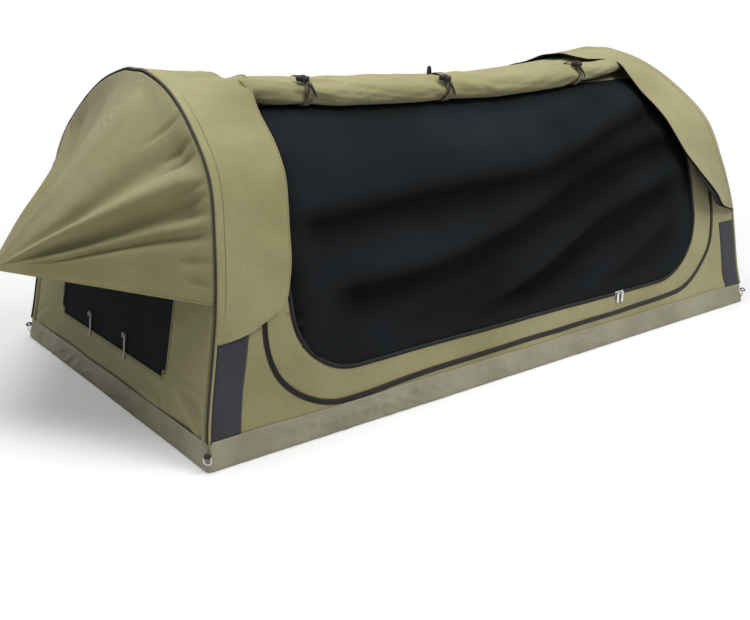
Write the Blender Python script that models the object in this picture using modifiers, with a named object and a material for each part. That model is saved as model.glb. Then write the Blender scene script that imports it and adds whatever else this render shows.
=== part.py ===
"""Dome swag: a bedroll tent on two hoops, standing open with its door flap rolled up.

The origin is under the middle of the base. X runs along the bed, the door faces -Y, +Z is up.
"""

import math

import bmesh
import bpy
from mathutils import Matrix, Vector

# Overall size
base_length = 2.15
base_width = 1.20
ridge_height = 0.86
hoop_lean = 0.168
ridge_sag = 0.05
sag_zone = 0.11

# Hoop outline from a foot to the ridge: shares of half the width and of the ridge height
hoop_outline_shares = (
    (1.0, 0.0),
    (0.957, 0.14),
    (0.934, 0.33),
    (0.914, 0.44),
    (0.853, 0.593),
    (0.757, 0.747),
    (0.562, 0.867),
    (0.342, 0.953),
    (0.12, 0.996),
    (0.0, 1.0),
)
outline_parts = 32
curve_steps = 24

# Sheets and the gaps between pieces
canvas_thick = 0.002
mesh_thick = 0.0012
patch_thick = 0.0012
touch_gap = 0.0003
layer_gap = 0.0006

# Floor tub
band_height = 0.06
pvc_thick = 0.003
pvc_overhang = 0.0025
tub_corner = 0.008

# Mattress and its cover
mattress_thick = 0.046
mattress_end_room = 0.055
mattress_side_room = 0.05
mattress_corner = 0.03
mattress_edge = 0.012
cover_thick = 0.0012
cover_gap = 0.0006

# Hoops: poles, ferrules, sleeves and the pockets that their feet stand on
pole_radius = 0.005
pole_inset = 0.0165
pole_joint_gap = 0.001
ferrule_length = 0.07
ferrule_radius = 0.0056
ferrule_wall = 0.0006
sleeve_radius = 0.00745
sleeve_wall = 0.0006
sleeve_foot_gap = 0.016
pocket_radius = 0.008
piping_radius = 0.0045
piping_proud = 0.0015
piping_foot_gap = 0.008

# End walls, windows and their ties
window_side_room = 0.255
window_sill = 0.085
window_top_drop = 0.29
window_corner = 0.03
window_notch = 0.018
window_gap = 0.0004
tie_strap_width = 0.009
tie_strap_thick = 0.0015
tie_strap_rise = 0.048
tie_strap_foot = 0.022
tie_strap_hook = 0.014
tie_strap_reach = 0.008
window_tie_place_shares = (-0.30, 0.37)

# Awnings
awning_low = 0.378
awning_reach = 0.231
awning_tip_height = 0.41
awning_tip_width = 0.03
awning_inset = 0.0058
awning_flange = 0.008
awning_bulge = 0.012
awning_fold = 0.006
awning_fold_count = 8
awning_peak_share = 0.3333
awning_slant_share = 0.2
awning_columns = 32
awning_row_shares = (0.0, 0.12, 0.26, 0.42, 0.58, 0.73, 0.86, 0.97, 1.0)
awning_flat_from_share = 0.86
awning_flat_share = 0.97
tab_width = 0.024
tab_length = 0.04
tab_lap = 0.009
tab_drop = 0.012
eyelet_radius = 0.005

# Hoods: bands of canvas over the hoops with free inner edges
hood_widths = {"left": 0.180, "right": 0.242}
hood_lows = {"left": 0.29, "right": 0.352}
hood_tapers = {"left": 0.12, "right": 0.33}
hood_edge_lifts = {"left": 0.012, "right": 0.018}
hood_roll_lifts = {"left": 0.016, "right": 0.024}
hood_roll_reach = 0.085
hood_seat = 0.0044
hood_least_width = 0.008

# Door, its zip and the outer zip of the flap
door_left_room = 0.262
door_right_room = 0.285
door_low = 0.153
door_corner = 0.19
hinge_drop = 0.075
door_side_gap = 0.0007
door_end_gap = 0.002
door_fold = 0.010
door_fold_pitch = 0.21
door_fold_edge = 0.12
door_flat_edge = 0.04
door_fold_slope_share = 0.42
zip_width = 0.014
zip_thick = 0.0025
flap_zip_room = 0.185
flap_zip_low_left = 0.076
flap_zip_low_right = 0.100
flap_zip_corner = 0.21
flap_zip_width = 0.020
flap_zip_top_drop = 0.115

# Zip sliders and their pulls
slider_length = 0.018
slider_height = 0.012
slider_thick = 0.0025
slider_edge = 0.001
slider_meeting = 0.395
slider_apart = 0.021
bridge_wire = 0.0012
bridge_half_length = 0.006
bridge_rise = 0.0042
knuckle_radius = 0.003
knuckle_bore = 0.0016
knuckle_length = 0.006
pull_width = 0.009
pull_length = 0.030
pull_thick = 0.0018

# Rolled flap with its ties and toggles
roll_perch_drop = 0.093
roll_end_drop = 0.056
roll_half_width = 0.052
roll_half_height = 0.037
roll_left_room = 0.174
roll_right_room = 0.236
roll_waist_share = 0.14
roll_waist_reach = 0.035
roll_end_reach = 0.06
roll_end_share = 0.45
roll_pucker_share = 0.035
roll_pucker_count = 3
roll_clear_share = 1.4
roll_end_ring_share = 0.2
roll_tie_ring_shares = (-2.0, -0.7, 0.7, 2.0)
roll_rings = 22
roll_sides = 16
roll_tie_place_shares = (-0.80, -0.16, 0.67)
roll_tie_width = 0.024
roll_tie_thick = 0.0015
toggle_length = 0.034
toggle_radius = 0.008
toggle_lean_share = 0.25
toggle_taper_shares = (0.55, 0.9, 1.0, 1.0, 0.9, 0.55)

# Ridge strap and its hang loop
ridge_strap_length = 0.16
ridge_strap_width = 0.03
ridge_strap_place = 0.092
ridge_loop_half_width = 0.007
ridge_loop_height = 0.028
ridge_loop_band = 0.012
webbing_thick = 0.0016

# Corner patches, loops and rings
patch_width = 0.08
patch_top = 0.30
patch_foot_gap = 0.004
patch_edge_gap = 0.004
loop_height = 0.043
loop_reach = 0.0075
loop_half_height = 0.0055
loop_band = 0.013
loop_flat_share = 0.98
ring_bar = 0.009
ring_drop = 0.009
ring_wire = 0.0015
cut_overrun = 0.02

sides = {"left": -1, "right": 1}
ends = {"front": -1, "back": 1}
half_length = base_length / 2
half_width = base_width / 2
lean_angle = math.atan2(hoop_lean, ridge_height)
axis_height = band_height + pole_radius + touch_gap
hinge_height = ridge_height - hinge_drop
door_left = -(half_length - door_left_room)
door_right = half_length - door_right_room

for old in list(bpy.data.objects):
    bpy.data.objects.remove(old, do_unlink=True)

parts = bpy.data.collections.new("swag_bedroll")
cutters = bpy.data.collections.new("cutters")
bpy.context.scene.collection.children.link(parts)
bpy.context.scene.collection.children.link(cutters)


def paint(name, colour, roughness, metallic=0.0):
    """A Principled material from a linear colour."""
    material = bpy.data.materials.new(name)
    material.use_nodes = True
    shader = material.node_tree.nodes["Principled BSDF"]
    shader.inputs["Base Color"].default_value = (*colour, 1.0)
    shader.inputs["Roughness"].default_value = roughness
    shader.inputs["Metallic"].default_value = metallic
    return material


canvas = paint("olive_canvas", (0.32, 0.29, 0.15), 0.9)
pvc = paint("olive_pvc", (0.17, 0.16, 0.10), 0.6)
netting = paint("black_mesh", (0.012, 0.012, 0.014), 0.8)
charcoal = paint("charcoal_cloth", (0.04, 0.04, 0.055), 0.8)
black_webbing = paint("black_webbing", (0.015, 0.015, 0.015), 0.8)
grey_webbing = paint("grey_webbing", (0.35, 0.34, 0.30), 0.8)
zip_tape = paint("brown_zip", (0.03, 0.022, 0.015), 0.6)
silver = paint("silver_zinc", (0.75, 0.75, 0.75), 0.35, 1.0)
alloy = paint("alloy_tube", (0.6, 0.6, 0.6), 0.4, 1.0)
foam = paint("grey_foam", (0.25, 0.25, 0.26), 0.95)
cover_cloth = paint("cover_cloth", (0.05, 0.05, 0.055), 0.9)
toggle_plastic = paint("black_plastic", (0.02, 0.02, 0.02), 0.5)


def put(name, data, material, collection=parts):
    """Links a mesh or a curve as an object, with its material."""
    thing = bpy.data.objects.new(name, data)
    collection.objects.link(thing)
    if material is not None:
        data.materials.append(material)
    if collection is cutters:
        thing.hide_render = True
        thing.display_type = "WIRE"
    return thing


def from_bmesh(name, shape, material, collection=parts):
    """Turns a bmesh into an object and frees it."""
    data = bpy.data.meshes.new(name)
    shape.to_mesh(data)
    shape.free()
    return put(name, data, material, collection)


def smooth_sides(shape):
    """Shades the four-sided faces of a curved shape smooth and leaves its caps flat."""
    for face in shape.faces:
        face.smooth = len(face.verts) == 4


def thicken(thing, thickness, outwards=1):
    """Gives an open sheet its thickness on one side, or evenly with outwards 0."""
    solid = thing.modifiers.new("thickness", "SOLIDIFY")
    solid.thickness = thickness
    solid.offset = outwards
    solid.use_even_offset = True
    return thing


def join_shapes(thing, other, operation):
    """Cuts, joins or meets a piece with a helper shape."""
    change = thing.modifiers.new(operation.lower(), "BOOLEAN")
    change.operation = operation
    change.solver = "EXACT"
    change.object = other


def axis_at(name, place):
    """An empty on a joint's axis."""
    empty = bpy.data.objects.new(name, None)
    empty.location = place
    parts.objects.link(empty)
    return empty


def carry(thing, empty):
    """Parents a piece to the empty on its joint's axis and leaves it where it is."""
    thing.parent = empty
    thing.matrix_parent_inverse = Matrix.Translation(empty.location).inverted()
    return thing


def smooth_line(points, steps):
    """Points on a smooth curve through the given ones."""
    def between(p, q, r, s, t):
        bend = (2 * p - 5 * q + 4 * r - s) * t**2 + (3 * q - p - 3 * r + s) * t**3
        return 0.5 * (2 * q + (r - p) * t + bend)

    line = []
    for i in range(len(points) - 1):
        before = points[max(i - 1, 0)]
        start, end = points[i], points[i + 1]
        after = points[min(i + 2, len(points) - 1)]
        for k in range(steps):
            line.append(tuple(between(*near, k / steps) for near in zip(before, start, end, after)))
    line.append(points[-1])
    return line


def hoop_stations():
    """Evenly spaced (across, up, normal) places on the hoop's outline above the tub's band."""
    half = [(-across * half_width, up * ridge_height) for across, up in hoop_outline_shares]
    whole = half + [(-across, up) for across, up in reversed(half[:-1])]
    line = smooth_line(whole, curve_steps)
    cut = next(i for i, (_, up) in enumerate(line) if up > band_height)
    (y0, z0), (y1, z1) = line[cut - 1], line[cut]
    foot = y0 + (y1 - y0) * (band_height - z0) / (z1 - z0)
    line = [(foot, band_height), *line[cut : len(line) - cut], (-foot, band_height)]
    run = [0.0]
    for (y0, z0), (y1, z1) in zip(line, line[1:]):
        run.append(run[-1] + math.hypot(y1 - y0, z1 - z0))
    places = []
    for k in range(outline_parts + 1):
        want = run[-1] * k / outline_parts
        i = min(next(j for j, r in enumerate(run) if r >= want - run[-1] * 1e-9), len(line) - 1)
        i = max(i, 1)
        t = (want - run[i - 1]) / (run[i] - run[i - 1])
        (y0, z0), (y1, z1) = line[i - 1], line[i]
        places.append(Vector((0, y0 + (y1 - y0) * t, z0 + (z1 - z0) * t)))
    normals = []
    for k in range(outline_parts + 1):
        along = places[min(k + 1, outline_parts)] - places[max(k - 1, 0)]
        normals.append(Vector((0, -along.z, along.y)).normalized())
    return places, normals, run[-1]


station_places, station_normals, outline_run = hoop_stations()
foot_share = touch_gap / outline_run
half_facet_share = 0.5 / outline_parts


def outline_at(share):
    """Place and normal at a share of the hoop's outline, 0 at the front foot and 1 at the back."""
    k = min(max(share, 0.0), 1.0) * outline_parts
    i = min(int(k), outline_parts - 1)
    t = k - i
    place = station_places[i].lerp(station_places[i + 1], t)
    normal = station_normals[i].lerp(station_normals[i + 1], t)
    return place, normal


def share_at_height(height):
    """Share of the outline at which its front side reaches a height."""
    for k in range(outline_parts // 2):
        low, high = station_places[k].z, station_places[k + 1].z
        if height <= high:
            return (k + (height - low) / (high - low)) / outline_parts
    return 0.5


def half_length_at(height):
    """Half the length between the leaning hoops at a height."""
    return half_length - hoop_lean * height / ridge_height


def sag_at(share, along_share):
    """How far the canopy hangs below the hoops' outline between them, straight from station to station."""
    k = min(max(share, 0.0), 1.0) * outline_parts
    i = min(int(k), outline_parts - 1)
    sags = []
    for place in station_places[i : i + 2]:
        t = min(max((place.z - ridge_height + sag_zone) / sag_zone, 0.0), 1.0)
        sags.append(ridge_sag * (1 - along_share**2) * t * t * (3 - 2 * t))
    return sags[0] + (sags[1] - sags[0]) * (k - i)


def canopy_point(along_share, share, out):
    """A point on the canopy: along it from -1 to 1, over it by its share, and out from its inner face."""
    place, normal = outline_at(share)
    point = place + normal * out
    point.x = along_share * half_length_at(place.z)
    point.z -= sag_at(share, along_share)
    return point


def front_point(x, height, out):
    """The canopy's front at a place along it and a height."""
    level = height
    for _ in range(6):
        level = height + sag_at(share_at_height(level), x / half_length_at(level))
    return canopy_point(x / half_length_at(level), share_at_height(level), out)


def hoop_point(side, share, inset, along=0.0):
    """A point in a hoop's leaning plane, inset from its outline or moved along its outward normal."""
    place, normal = outline_at(share)
    point = place - normal * inset
    point.x = side * half_length_at(point.z)
    return point + Vector((side * math.cos(lean_angle), 0, math.sin(lean_angle))) * along


def stations_between(low, high, extra=0):
    """Shares of the outline from low to high that include every station, with extra ones between them."""
    inner = [k / outline_parts for k in range(outline_parts + 1)]
    found = [low] + [s for s in inner if low + foot_share < s < high - foot_share] + [high]
    filled = []
    for a, b in zip(found, found[1:]):
        filled += [a + (b - a) * i / (extra + 1) for i in range(extra + 1)]
    return filled + [high]


def even(low, high, parts_between):
    """Evenly spaced values with both ends."""
    return [low + (high - low) * i / parts_between for i in range(parts_between + 1)]


def sheet(name, place, across, along, material, collection=parts):
    """An open sheet: a grid whose points go where place(a, b) says, facing across x along."""
    shape = bmesh.new()
    bmesh.ops.create_grid(shape, x_segments=len(across) - 1, y_segments=len(along) - 1, size=1)
    for point in shape.verts:
        i = round((point.co.x + 1) / 2 * (len(across) - 1))
        j = round((point.co.y + 1) / 2 * (len(along) - 1))
        point.co = place(across[i], along[j])
    smooth_sides(shape)
    return from_bmesh(name, shape, material, collection)


def loft(name, rings, material):
    """A closed body through closed rings of points."""
    around = len(rings[0])
    shape = bmesh.new()
    bmesh.ops.create_grid(shape, x_segments=around, y_segments=len(rings) - 1, size=1)
    for point in shape.verts:
        i = round((point.co.x + 1) / 2 * around) % around
        j = round((point.co.y + 1) / 2 * (len(rings) - 1))
        point.co = rings[j][i]
    bmesh.ops.remove_doubles(shape, verts=shape.verts[:], dist=touch_gap / 10)
    bmesh.ops.holes_fill(shape, edges=[e for e in shape.edges if e.is_boundary], sides=0)
    bmesh.ops.recalc_face_normals(shape, faces=shape.faces[:])
    smooth_sides(shape)
    return from_bmesh(name, shape, material)


def wire(name, points, radius, material, shares=None, cyclic=False, capped=True, fineness=1):
    """A round bar or tube along points, with its radius changed by shares."""
    data = bpy.data.curves.new(name, "CURVE")
    data.dimensions = "3D"
    data.bevel_depth = radius
    data.bevel_resolution = fineness
    data.use_fill_caps = capped and not cyclic
    spline = data.splines.new("POLY")
    spline.points.add(len(points) - 1)
    for i, point in enumerate(points):
        spline.points[i].co = (*point, 1.0)
        spline.points[i].radius = shares[i] if shares else 1.0
    spline.use_cyclic_u = cyclic
    return put(name, data, material)


def as_mesh(thing, material, collection):
    """Makes a curve object a closed mesh object, so that it can be joined or cut."""
    graph = bpy.context.evaluated_depsgraph_get()
    data = bpy.data.meshes.new_from_object(thing.evaluated_get(graph))
    shape = bmesh.new()
    shape.from_mesh(data)
    bmesh.ops.remove_doubles(shape, verts=shape.verts[:], dist=touch_gap / 100)
    shape.to_mesh(data)
    shape.free()
    data.materials.clear()
    matrix = thing.matrix_world.copy()
    name = thing.name
    bpy.data.objects.remove(thing, do_unlink=True)
    made = put(name, data, material, collection)
    made.matrix_world = matrix
    return made


def plate(name, loops, thickness, matrix, material, collection=parts):
    """A flat plate of one outline with holes, centred on its plane."""
    data = bpy.data.curves.new(name, "CURVE")
    data.dimensions = "2D"
    data.fill_mode = "BOTH"
    data.extrude = thickness / 2
    for loop in loops:
        spline = data.splines.new("POLY")
        spline.points.add(len(loop) - 1)
        for i, (x, y) in enumerate(loop):
            spline.points[i].co = (x, y, 0.0, 1.0)
        spline.use_cyclic_u = True
    made = put(name, data, material, collection)
    made.matrix_world = matrix
    return made


def block(name, size, place, material, collection=parts, edge=0.0):
    """A box with its edges rounded."""
    shape = bmesh.new()
    bmesh.ops.create_cube(shape, size=1)
    for point in shape.verts:
        point.co = Vector((point.co.x * size[0], point.co.y * size[1], point.co.z * size[2]))
    made = from_bmesh(name, shape, material, collection)
    made.location = place
    if edge:
        rounding = made.modifiers.new("edges", "BEVEL")
        rounding.width = edge
        rounding.segments = 2
    return made


def rod(name, radius, length, matrix, material, collection=parts, facets=12):
    """A cylinder centred on its matrix, along the matrix's X."""
    shape = bmesh.new()
    bmesh.ops.create_cone(
        shape, cap_ends=True, segments=facets, radius1=radius, radius2=radius, depth=length,
        matrix=Matrix.Rotation(math.pi / 2, 4, "Y"),
    )
    smooth_sides(shape)
    made = from_bmesh(name, shape, material, collection)
    made.matrix_world = matrix
    return made


def band_loop(name, matrix, radii, width, thickness, material, facets=16):
    """A strap round an oval in the matrix's YZ plane: radii are its reach along Y, up and down."""
    shape = bmesh.new()
    bmesh.ops.create_cone(
        shape, cap_ends=False, segments=facets, radius1=1, radius2=1, depth=width,
        matrix=Matrix.Rotation(math.pi / 2, 4, "Y"),
    )
    for point in shape.verts:
        point.co.y *= radii[0]
        point.co.z *= radii[1] if point.co.z > 0 else radii[2]
    smooth_sides(shape)
    made = from_bmesh(name, shape, material)
    made.matrix_world = matrix
    return thicken(made, thickness)


def strap(name, points, across, width, thickness, material):
    """A flat strap along points, facing across x its run."""
    steps = list(range(len(points)))
    made = sheet(
        name, lambda b, i: points[i] + across * (b - 0.5) * width, even(0, 1, 1), steps, material
    )
    return thicken(made, thickness)


def frame_of(x_axis, y_axis, z_axis, place):
    """A matrix from its three axes and its place."""
    turn = Matrix((x_axis, y_axis, z_axis)).transposed()
    return Matrix.Translation(place) @ turn.to_4x4()


def side_frame(side):
    """The leaning plane of a hoop: its origin on the fold axis, Y up the plane, Z outwards."""
    up = Vector((-side * math.sin(lean_angle), 0, math.cos(lean_angle)))
    out = Vector((side * math.cos(lean_angle), 0, math.sin(lean_angle)))
    place = Vector((side * half_length_at(axis_height), 0, axis_height))
    return frame_of(Vector((0, side, 0)), up, out, place)


def rounded_u(left, right, low_left, low_right, top, radius, arc_parts, run_parts):
    """(x, height) places down the left side, along the bottom and up the right side."""
    def low(x):
        return low_left + (low_right - low_left) * (x - left) / (right - left)

    heights = [p.z for p in station_places[: outline_parts // 2]]
    left_side = [h for h in heights if low(left) + radius < h < top - touch_gap]
    right_side = [h for h in heights if low(right) + radius < h < top - touch_gap]
    def turns(base):
        angles = even(0.0, math.pi / 2, arc_parts)
        for h in heights:
            rise = 1 - (h - base) / radius
            if 0 < rise < 1:
                near = min(angles, key=lambda angle: abs(angle - math.asin(rise)))
                if near in angles[1:-1] and abs(near - math.asin(rise)) < math.pi / 8 / arc_parts:
                    angles.remove(near)
                angles.append(math.asin(rise))
        return sorted(angles)

    path = [(left, top)] + [(left, h) for h in reversed(left_side)]
    for turn in turns(low(left)):
        path.append((left + radius * (1 - math.cos(turn)), low(left) + radius * (1 - math.sin(turn))))
    start, end = left + radius, right - radius
    shift_left = low(start) - low(left)
    shift_right = low(end) - low(right)
    for x in even(start, end, run_parts)[1:-1]:
        t = (x - start) / (end - start)
        path.append((x, low(x) - shift_left * (1 - t) - shift_right * t))
    for turn in reversed(turns(low(right))):
        path.append((right - radius * (1 - math.cos(turn)), low(right) + radius * (1 - math.sin(turn))))
    return path + [(right, h) for h in right_side] + [(right, top)]


def front_strip(name, path, width, out, thickness, material):
    """A tape on the canopy's front along a path of (x, height) places."""
    def place(b, i):
        before, after = path[max(i - 1, 0)], path[min(i + 1, len(path) - 1)]
        run_x, run_z = after[0] - before[0], after[1] - before[1]
        length = math.hypot(run_x, run_z)
        shift = (b - 0.5) * width / length
        return front_point(path[i][0] + run_z * shift, path[i][1] - run_x * shift, out)

    made = sheet(name, place, even(0, 1, 2), list(range(len(path))), material)
    return thicken(made, thickness)


def prism(name, outline):
    """A cutter with an outline of (x, height) places, through the canopy's front half."""
    middle = Vector((0, -half_width / 2, 0))
    matrix = frame_of(Vector((1, 0, 0)), Vector((0, 0, 1)), Vector((0, -1, 0)), middle)
    made = plate(name, [outline], half_width + cut_overrun * 2, matrix, None, cutters)
    return as_mesh(made, None, cutters)


def build_tub():
    """The PVC floor with its upturned band, wider at the ground."""
    shape = bmesh.new()
    bmesh.ops.create_cube(shape, size=1)
    foot = -station_places[0].y
    for point in shape.verts:
        top = point.co.z > 0
        x = (half_length_at(band_height) if top else half_length) + pvc_overhang
        y = (foot if top else half_width) + pvc_overhang
        z = band_height if top else 0.0
        point.co = Vector((math.copysign(x, point.co.x), math.copysign(y, point.co.y), z))
    edges = [e for e in shape.edges if abs(e.verts[0].co.z - e.verts[1].co.z) > band_height / 2]
    bmesh.ops.bevel(shape, geom=edges, offset=tub_corner, segments=2, profile=0.5, affect="EDGES")
    lids = [f for f in shape.faces if f.calc_center_median().z > band_height * 0.99]
    bmesh.ops.delete(shape, geom=lids, context="FACES")
    thicken(from_bmesh("floor_tub", shape, pvc), pvc_thick, -1)


def slab_shape(grow, thickness):
    """A slab with rounded corners and edges, lying on z = 0."""
    shape = bmesh.new()
    bmesh.ops.create_cube(shape, size=1)
    x = half_length - mattress_end_room + grow
    y = half_width - mattress_side_room + grow
    for point in shape.verts:
        z = thickness if point.co.z > 0 else 0.0
        point.co = Vector((math.copysign(x, point.co.x), math.copysign(y, point.co.y), z))
    posts = [e for e in shape.edges if abs(e.verts[0].co.z - e.verts[1].co.z) > thickness / 2]
    corner = mattress_corner + grow
    bmesh.ops.bevel(shape, geom=posts, offset=corner, segments=4, profile=0.5, affect="EDGES")
    rim = [
        e for e in shape.edges
        if min(v.co.z for v in e.verts) > thickness / 2 and any(abs(f.normal.z) < 0.5 for f in e.link_faces)
    ]
    bmesh.ops.bevel(shape, geom=rim, offset=mattress_edge + grow, segments=2, profile=0.5, affect="EDGES")
    return shape


def build_mattress():
    """The foam on the tub's floor, and the cloth cover drawn over it."""
    floor = pvc_thick + touch_gap
    slab = from_bmesh("foam_mattress", slab_shape(0.0, mattress_thick), foam)
    slab.location.z = floor
    shape = slab_shape(cover_gap, mattress_thick + cover_gap)
    under = [f for f in shape.faces if f.normal.z < -0.5]
    bmesh.ops.delete(shape, geom=under, context="FACES")
    cover = from_bmesh("mattress_cover", shape, cover_cloth)
    cover.location.z = floor
    thicken(cover, cover_thick)


def build_walls():
    """The canvas front with its door opening, and the roof and back in one panel."""
    columns = even(-1, 1, 12)
    front = sheet(
        "front_wall", lambda a, s: canopy_point(a, s, 0.0), columns,
        stations_between(foot_share, 0.5 - foot_share / 2), canvas,
    )
    thicken(front, canvas_thick)
    back = sheet(
        "back_wall", lambda a, s: canopy_point(a, s, 0.0), columns,
        stations_between(0.5 + foot_share / 2, 1 - foot_share), canvas,
    )
    thicken(back, canvas_thick)
    top = hinge_height + door_end_gap + touch_gap
    opening = rounded_u(door_left, door_right, door_low, door_low, top, door_corner, 6, 1)
    join_shapes(front, prism("door_opening", opening), "DIFFERENCE")


def door_fold_out(x, height):
    """How far the netting's long slanting folds stand out from the canopy's inner face."""
    room = min(x - door_left, door_right - x, height - door_low, hinge_height - height)
    fade = min(max((room - door_flat_edge) / door_fold_edge, 0.0), 1.0)
    phase = (height - x * door_fold_slope_share) / door_fold_pitch
    wave = 0.5 + 0.5 * math.sin(2 * math.pi * phase)
    return door_fold * wave * fade * fade * (3 - 2 * fade)


def build_door():
    """The netting door, hung from its top edge."""
    def door_place(a, s):
        flat = canopy_point(a, s, 0.0)
        return canopy_point(a, s, door_fold_out(flat.x, flat.z))

    low_share = share_at_height(door_low - cut_overrun)
    columns = even(-1, 1, 24)
    rows = stations_between(low_share, share_at_height(hinge_height + cut_overrun), 1)
    door = sheet("door_mesh", door_place, columns[2:-2], rows, netting)
    thicken(door, mesh_thick)
    shape = rounded_u(
        door_left + door_side_gap, door_right - door_side_gap,
        door_low + door_end_gap, door_low + door_end_gap,
        hinge_height, door_corner, 6, 1,
    )
    join_shapes(door, prism("door_outline", shape), "INTERSECT")
    axis = axis_at("door_axis", front_point(0.0, hinge_height, mesh_thick / 2))
    carry(door, axis)


def build_zips():
    """The door's zip over the door's edge, and the flap's zip round it."""
    out = canvas_thick + layer_gap
    door_path = rounded_u(door_left, door_right, door_low, door_low, hinge_height, door_corner, 8, 6)
    front_strip("door_zip", door_path, zip_width, out, zip_thick, zip_tape)
    x = half_length - flap_zip_room
    top = ridge_height - flap_zip_top_drop
    flap_path = rounded_u(-x, x, flap_zip_low_left, flap_zip_low_right, top, flap_zip_corner, 8, 8)
    front_strip("flap_zip", flap_path, flap_zip_width, out, zip_thick, zip_tape)


def build_sliders():
    """Two sliders that meet on the door's zip, each with a hanging pull."""
    out = canvas_thick + layer_gap + zip_thick + layer_gap / 2
    _, normal = outline_at(share_at_height(door_low))
    up = Vector((0, -normal.z, normal.y)) * -1
    for side_name, side in sides.items():
        x = slider_meeting + side * slider_apart / 2
        seat = front_point(x, door_low, out)
        frame = frame_of(Vector((1, 0, 0)), up, normal, seat)
        size = (slider_length, slider_height, slider_thick)
        slider = block("zip_slider_" + side_name, size, (0, 0, 0), silver, parts, slider_edge)
        slider.matrix_world = frame @ Matrix.Translation((0, 0, slider_thick / 2))
        rise = slider_thick + bridge_rise
        inner = slider_thick / 2
        staple = [
            frame @ Vector((-bridge_half_length, 0, inner)),
            frame @ Vector((-bridge_half_length, 0, rise)),
            frame @ Vector((bridge_half_length, 0, rise)),
            frame @ Vector((bridge_half_length, 0, inner)),
        ]
        bridge = as_mesh(wire("bridge_" + side_name, staple, bridge_wire, None), None, cutters)
        join_shapes(slider, bridge, "UNION")
        pivot = frame @ Vector((0, 0, rise))
        upright = frame_of(Vector((1, 0, 0)), Vector((0, 0, 1)), Vector((0, -1, 0)), pivot)
        pull = rod("zip_pull_" + side_name, knuckle_radius, knuckle_length, upright, silver)
        tab_start = (knuckle_radius + knuckle_bore) / 2
        tab_size = (pull_width, pull_length - tab_start, pull_thick)
        tab = block("tab_" + side_name, tab_size, (0, 0, 0), None, cutters)
        tab.matrix_world = upright @ Matrix.Translation((0, -(pull_length + tab_start) / 2, 0))
        join_shapes(pull, tab, "UNION")
        bore = rod("bore_" + side_name, knuckle_bore, pull_width + cut_overrun, upright, None, cutters)
        join_shapes(pull, bore, "DIFFERENCE")
        carry(pull, axis_at("pull_axis_" + side_name, pivot))


def build_roll():
    """The door flap rolled up on the front of the ridge, with its ties and toggles."""
    seat = canvas_thick + touch_gap + roll_tie_thick + touch_gap
    left = -(half_length - hoop_lean - roll_left_room)
    right = half_length - hoop_lean - roll_right_room
    middle, reach = (left + right) / 2, (right - left) / 2
    tie_places = [middle + reach * share for share in roll_tie_place_shares]

    def rest(x):
        """The roll's centre at a place along it, with the canopy's slope and normal there."""
        away = (x - middle) / reach
        level = ridge_height - roll_perch_drop + (roll_perch_drop - roll_end_drop) * away * away
        perch = share_at_height(level)
        along_share = x / half_length_at(level)
        down = canopy_point(along_share, perch - half_facet_share, 0.0)
        down -= canopy_point(along_share, perch + half_facet_share, 0.0)
        down.x = 0
        down.normalize()
        normal = Vector((0, down.z, -down.y))
        return canopy_point(along_share, perch, 0.0) + normal * (seat + roll_half_height), down, normal

    def end_size(x):
        """The roll's size as a share, smaller at its ends."""
        end = min((x - left) / roll_end_reach, (right - x) / roll_end_reach, 1.0)
        return roll_end_share + (1 - roll_end_share) * math.sqrt(max(end * (2 - end), 0.0))

    def swell(x):
        """The same, but drawn in at the ties."""
        size = 1.0
        for tie in tie_places:
            away = max(abs(x - tie) - roll_tie_width, 0.0)
            size -= roll_waist_share * math.exp(-((away / roll_waist_reach) ** 2))
        return size * end_size(x)

    near_ties = [tie + roll_tie_width * step for tie in tie_places for step in roll_tie_ring_shares]
    room = roll_waist_reach * roll_clear_share
    clear = [x for x in even(left, right, roll_rings) if min(abs(x - tie) for tie in tie_places) > room]
    end_rings = [left + roll_end_reach * roll_end_ring_share, right - roll_end_reach * roll_end_ring_share]
    rings = []
    for x in sorted(near_ties + clear + end_rings):
        size = swell(x)
        centre, down, normal = rest(x)
        ring = []
        for k in range(roll_sides):
            turn = 2 * math.pi * k / roll_sides
            phase = roll_pucker_count * turn + 2 * math.pi * x / roll_end_reach / roll_pucker_count
            pucker = 1 - roll_pucker_share * (1 + math.sin(phase))
            rise = size * pucker if math.sin(turn) > 0 else end_size(x)
            ring.append(
                centre + down * roll_half_width * size * pucker * math.cos(turn)
                + normal * roll_half_height * rise * math.sin(turn)
            )
        rings.append(ring)
    loft("rolled_flap", rings, canvas)

    for number, x in enumerate(tie_places, 1):
        centre, down, _ = rest(x)
        along = (rest(x + roll_tie_width)[0] - rest(x - roll_tie_width)[0]).normalized()
        down = (down - along * down.dot(along)).normalized()
        frame = frame_of(along, down, down.cross(along), centre)
        radii = (
            roll_half_width * swell(x) + touch_gap, roll_half_height * swell(x) + touch_gap,
            roll_half_height + touch_gap,
        )
        band_loop(f"roll_tie_{number}", frame, radii, roll_tie_width, roll_tie_thick, black_webbing)
        lean = math.pi * (0.5 - toggle_lean_share)
        reach_out = radii[1] + roll_tie_thick + layer_gap + toggle_radius
        reach_down = radii[0] + roll_tie_thick + toggle_radius
        spot = Vector((0, reach_down * math.cos(lean), reach_out * math.sin(lean)))
        toggle_frame = frame @ Matrix.Translation(spot)
        run = even(-toggle_length / 2, toggle_length / 2, len(toggle_taper_shares) - 1)
        points = [toggle_frame @ Vector((x_run, 0, 0)) for x_run in run]
        wire(f"roll_toggle_{number}", points, toggle_radius, toggle_plastic, toggle_taper_shares, fineness=2)


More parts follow.
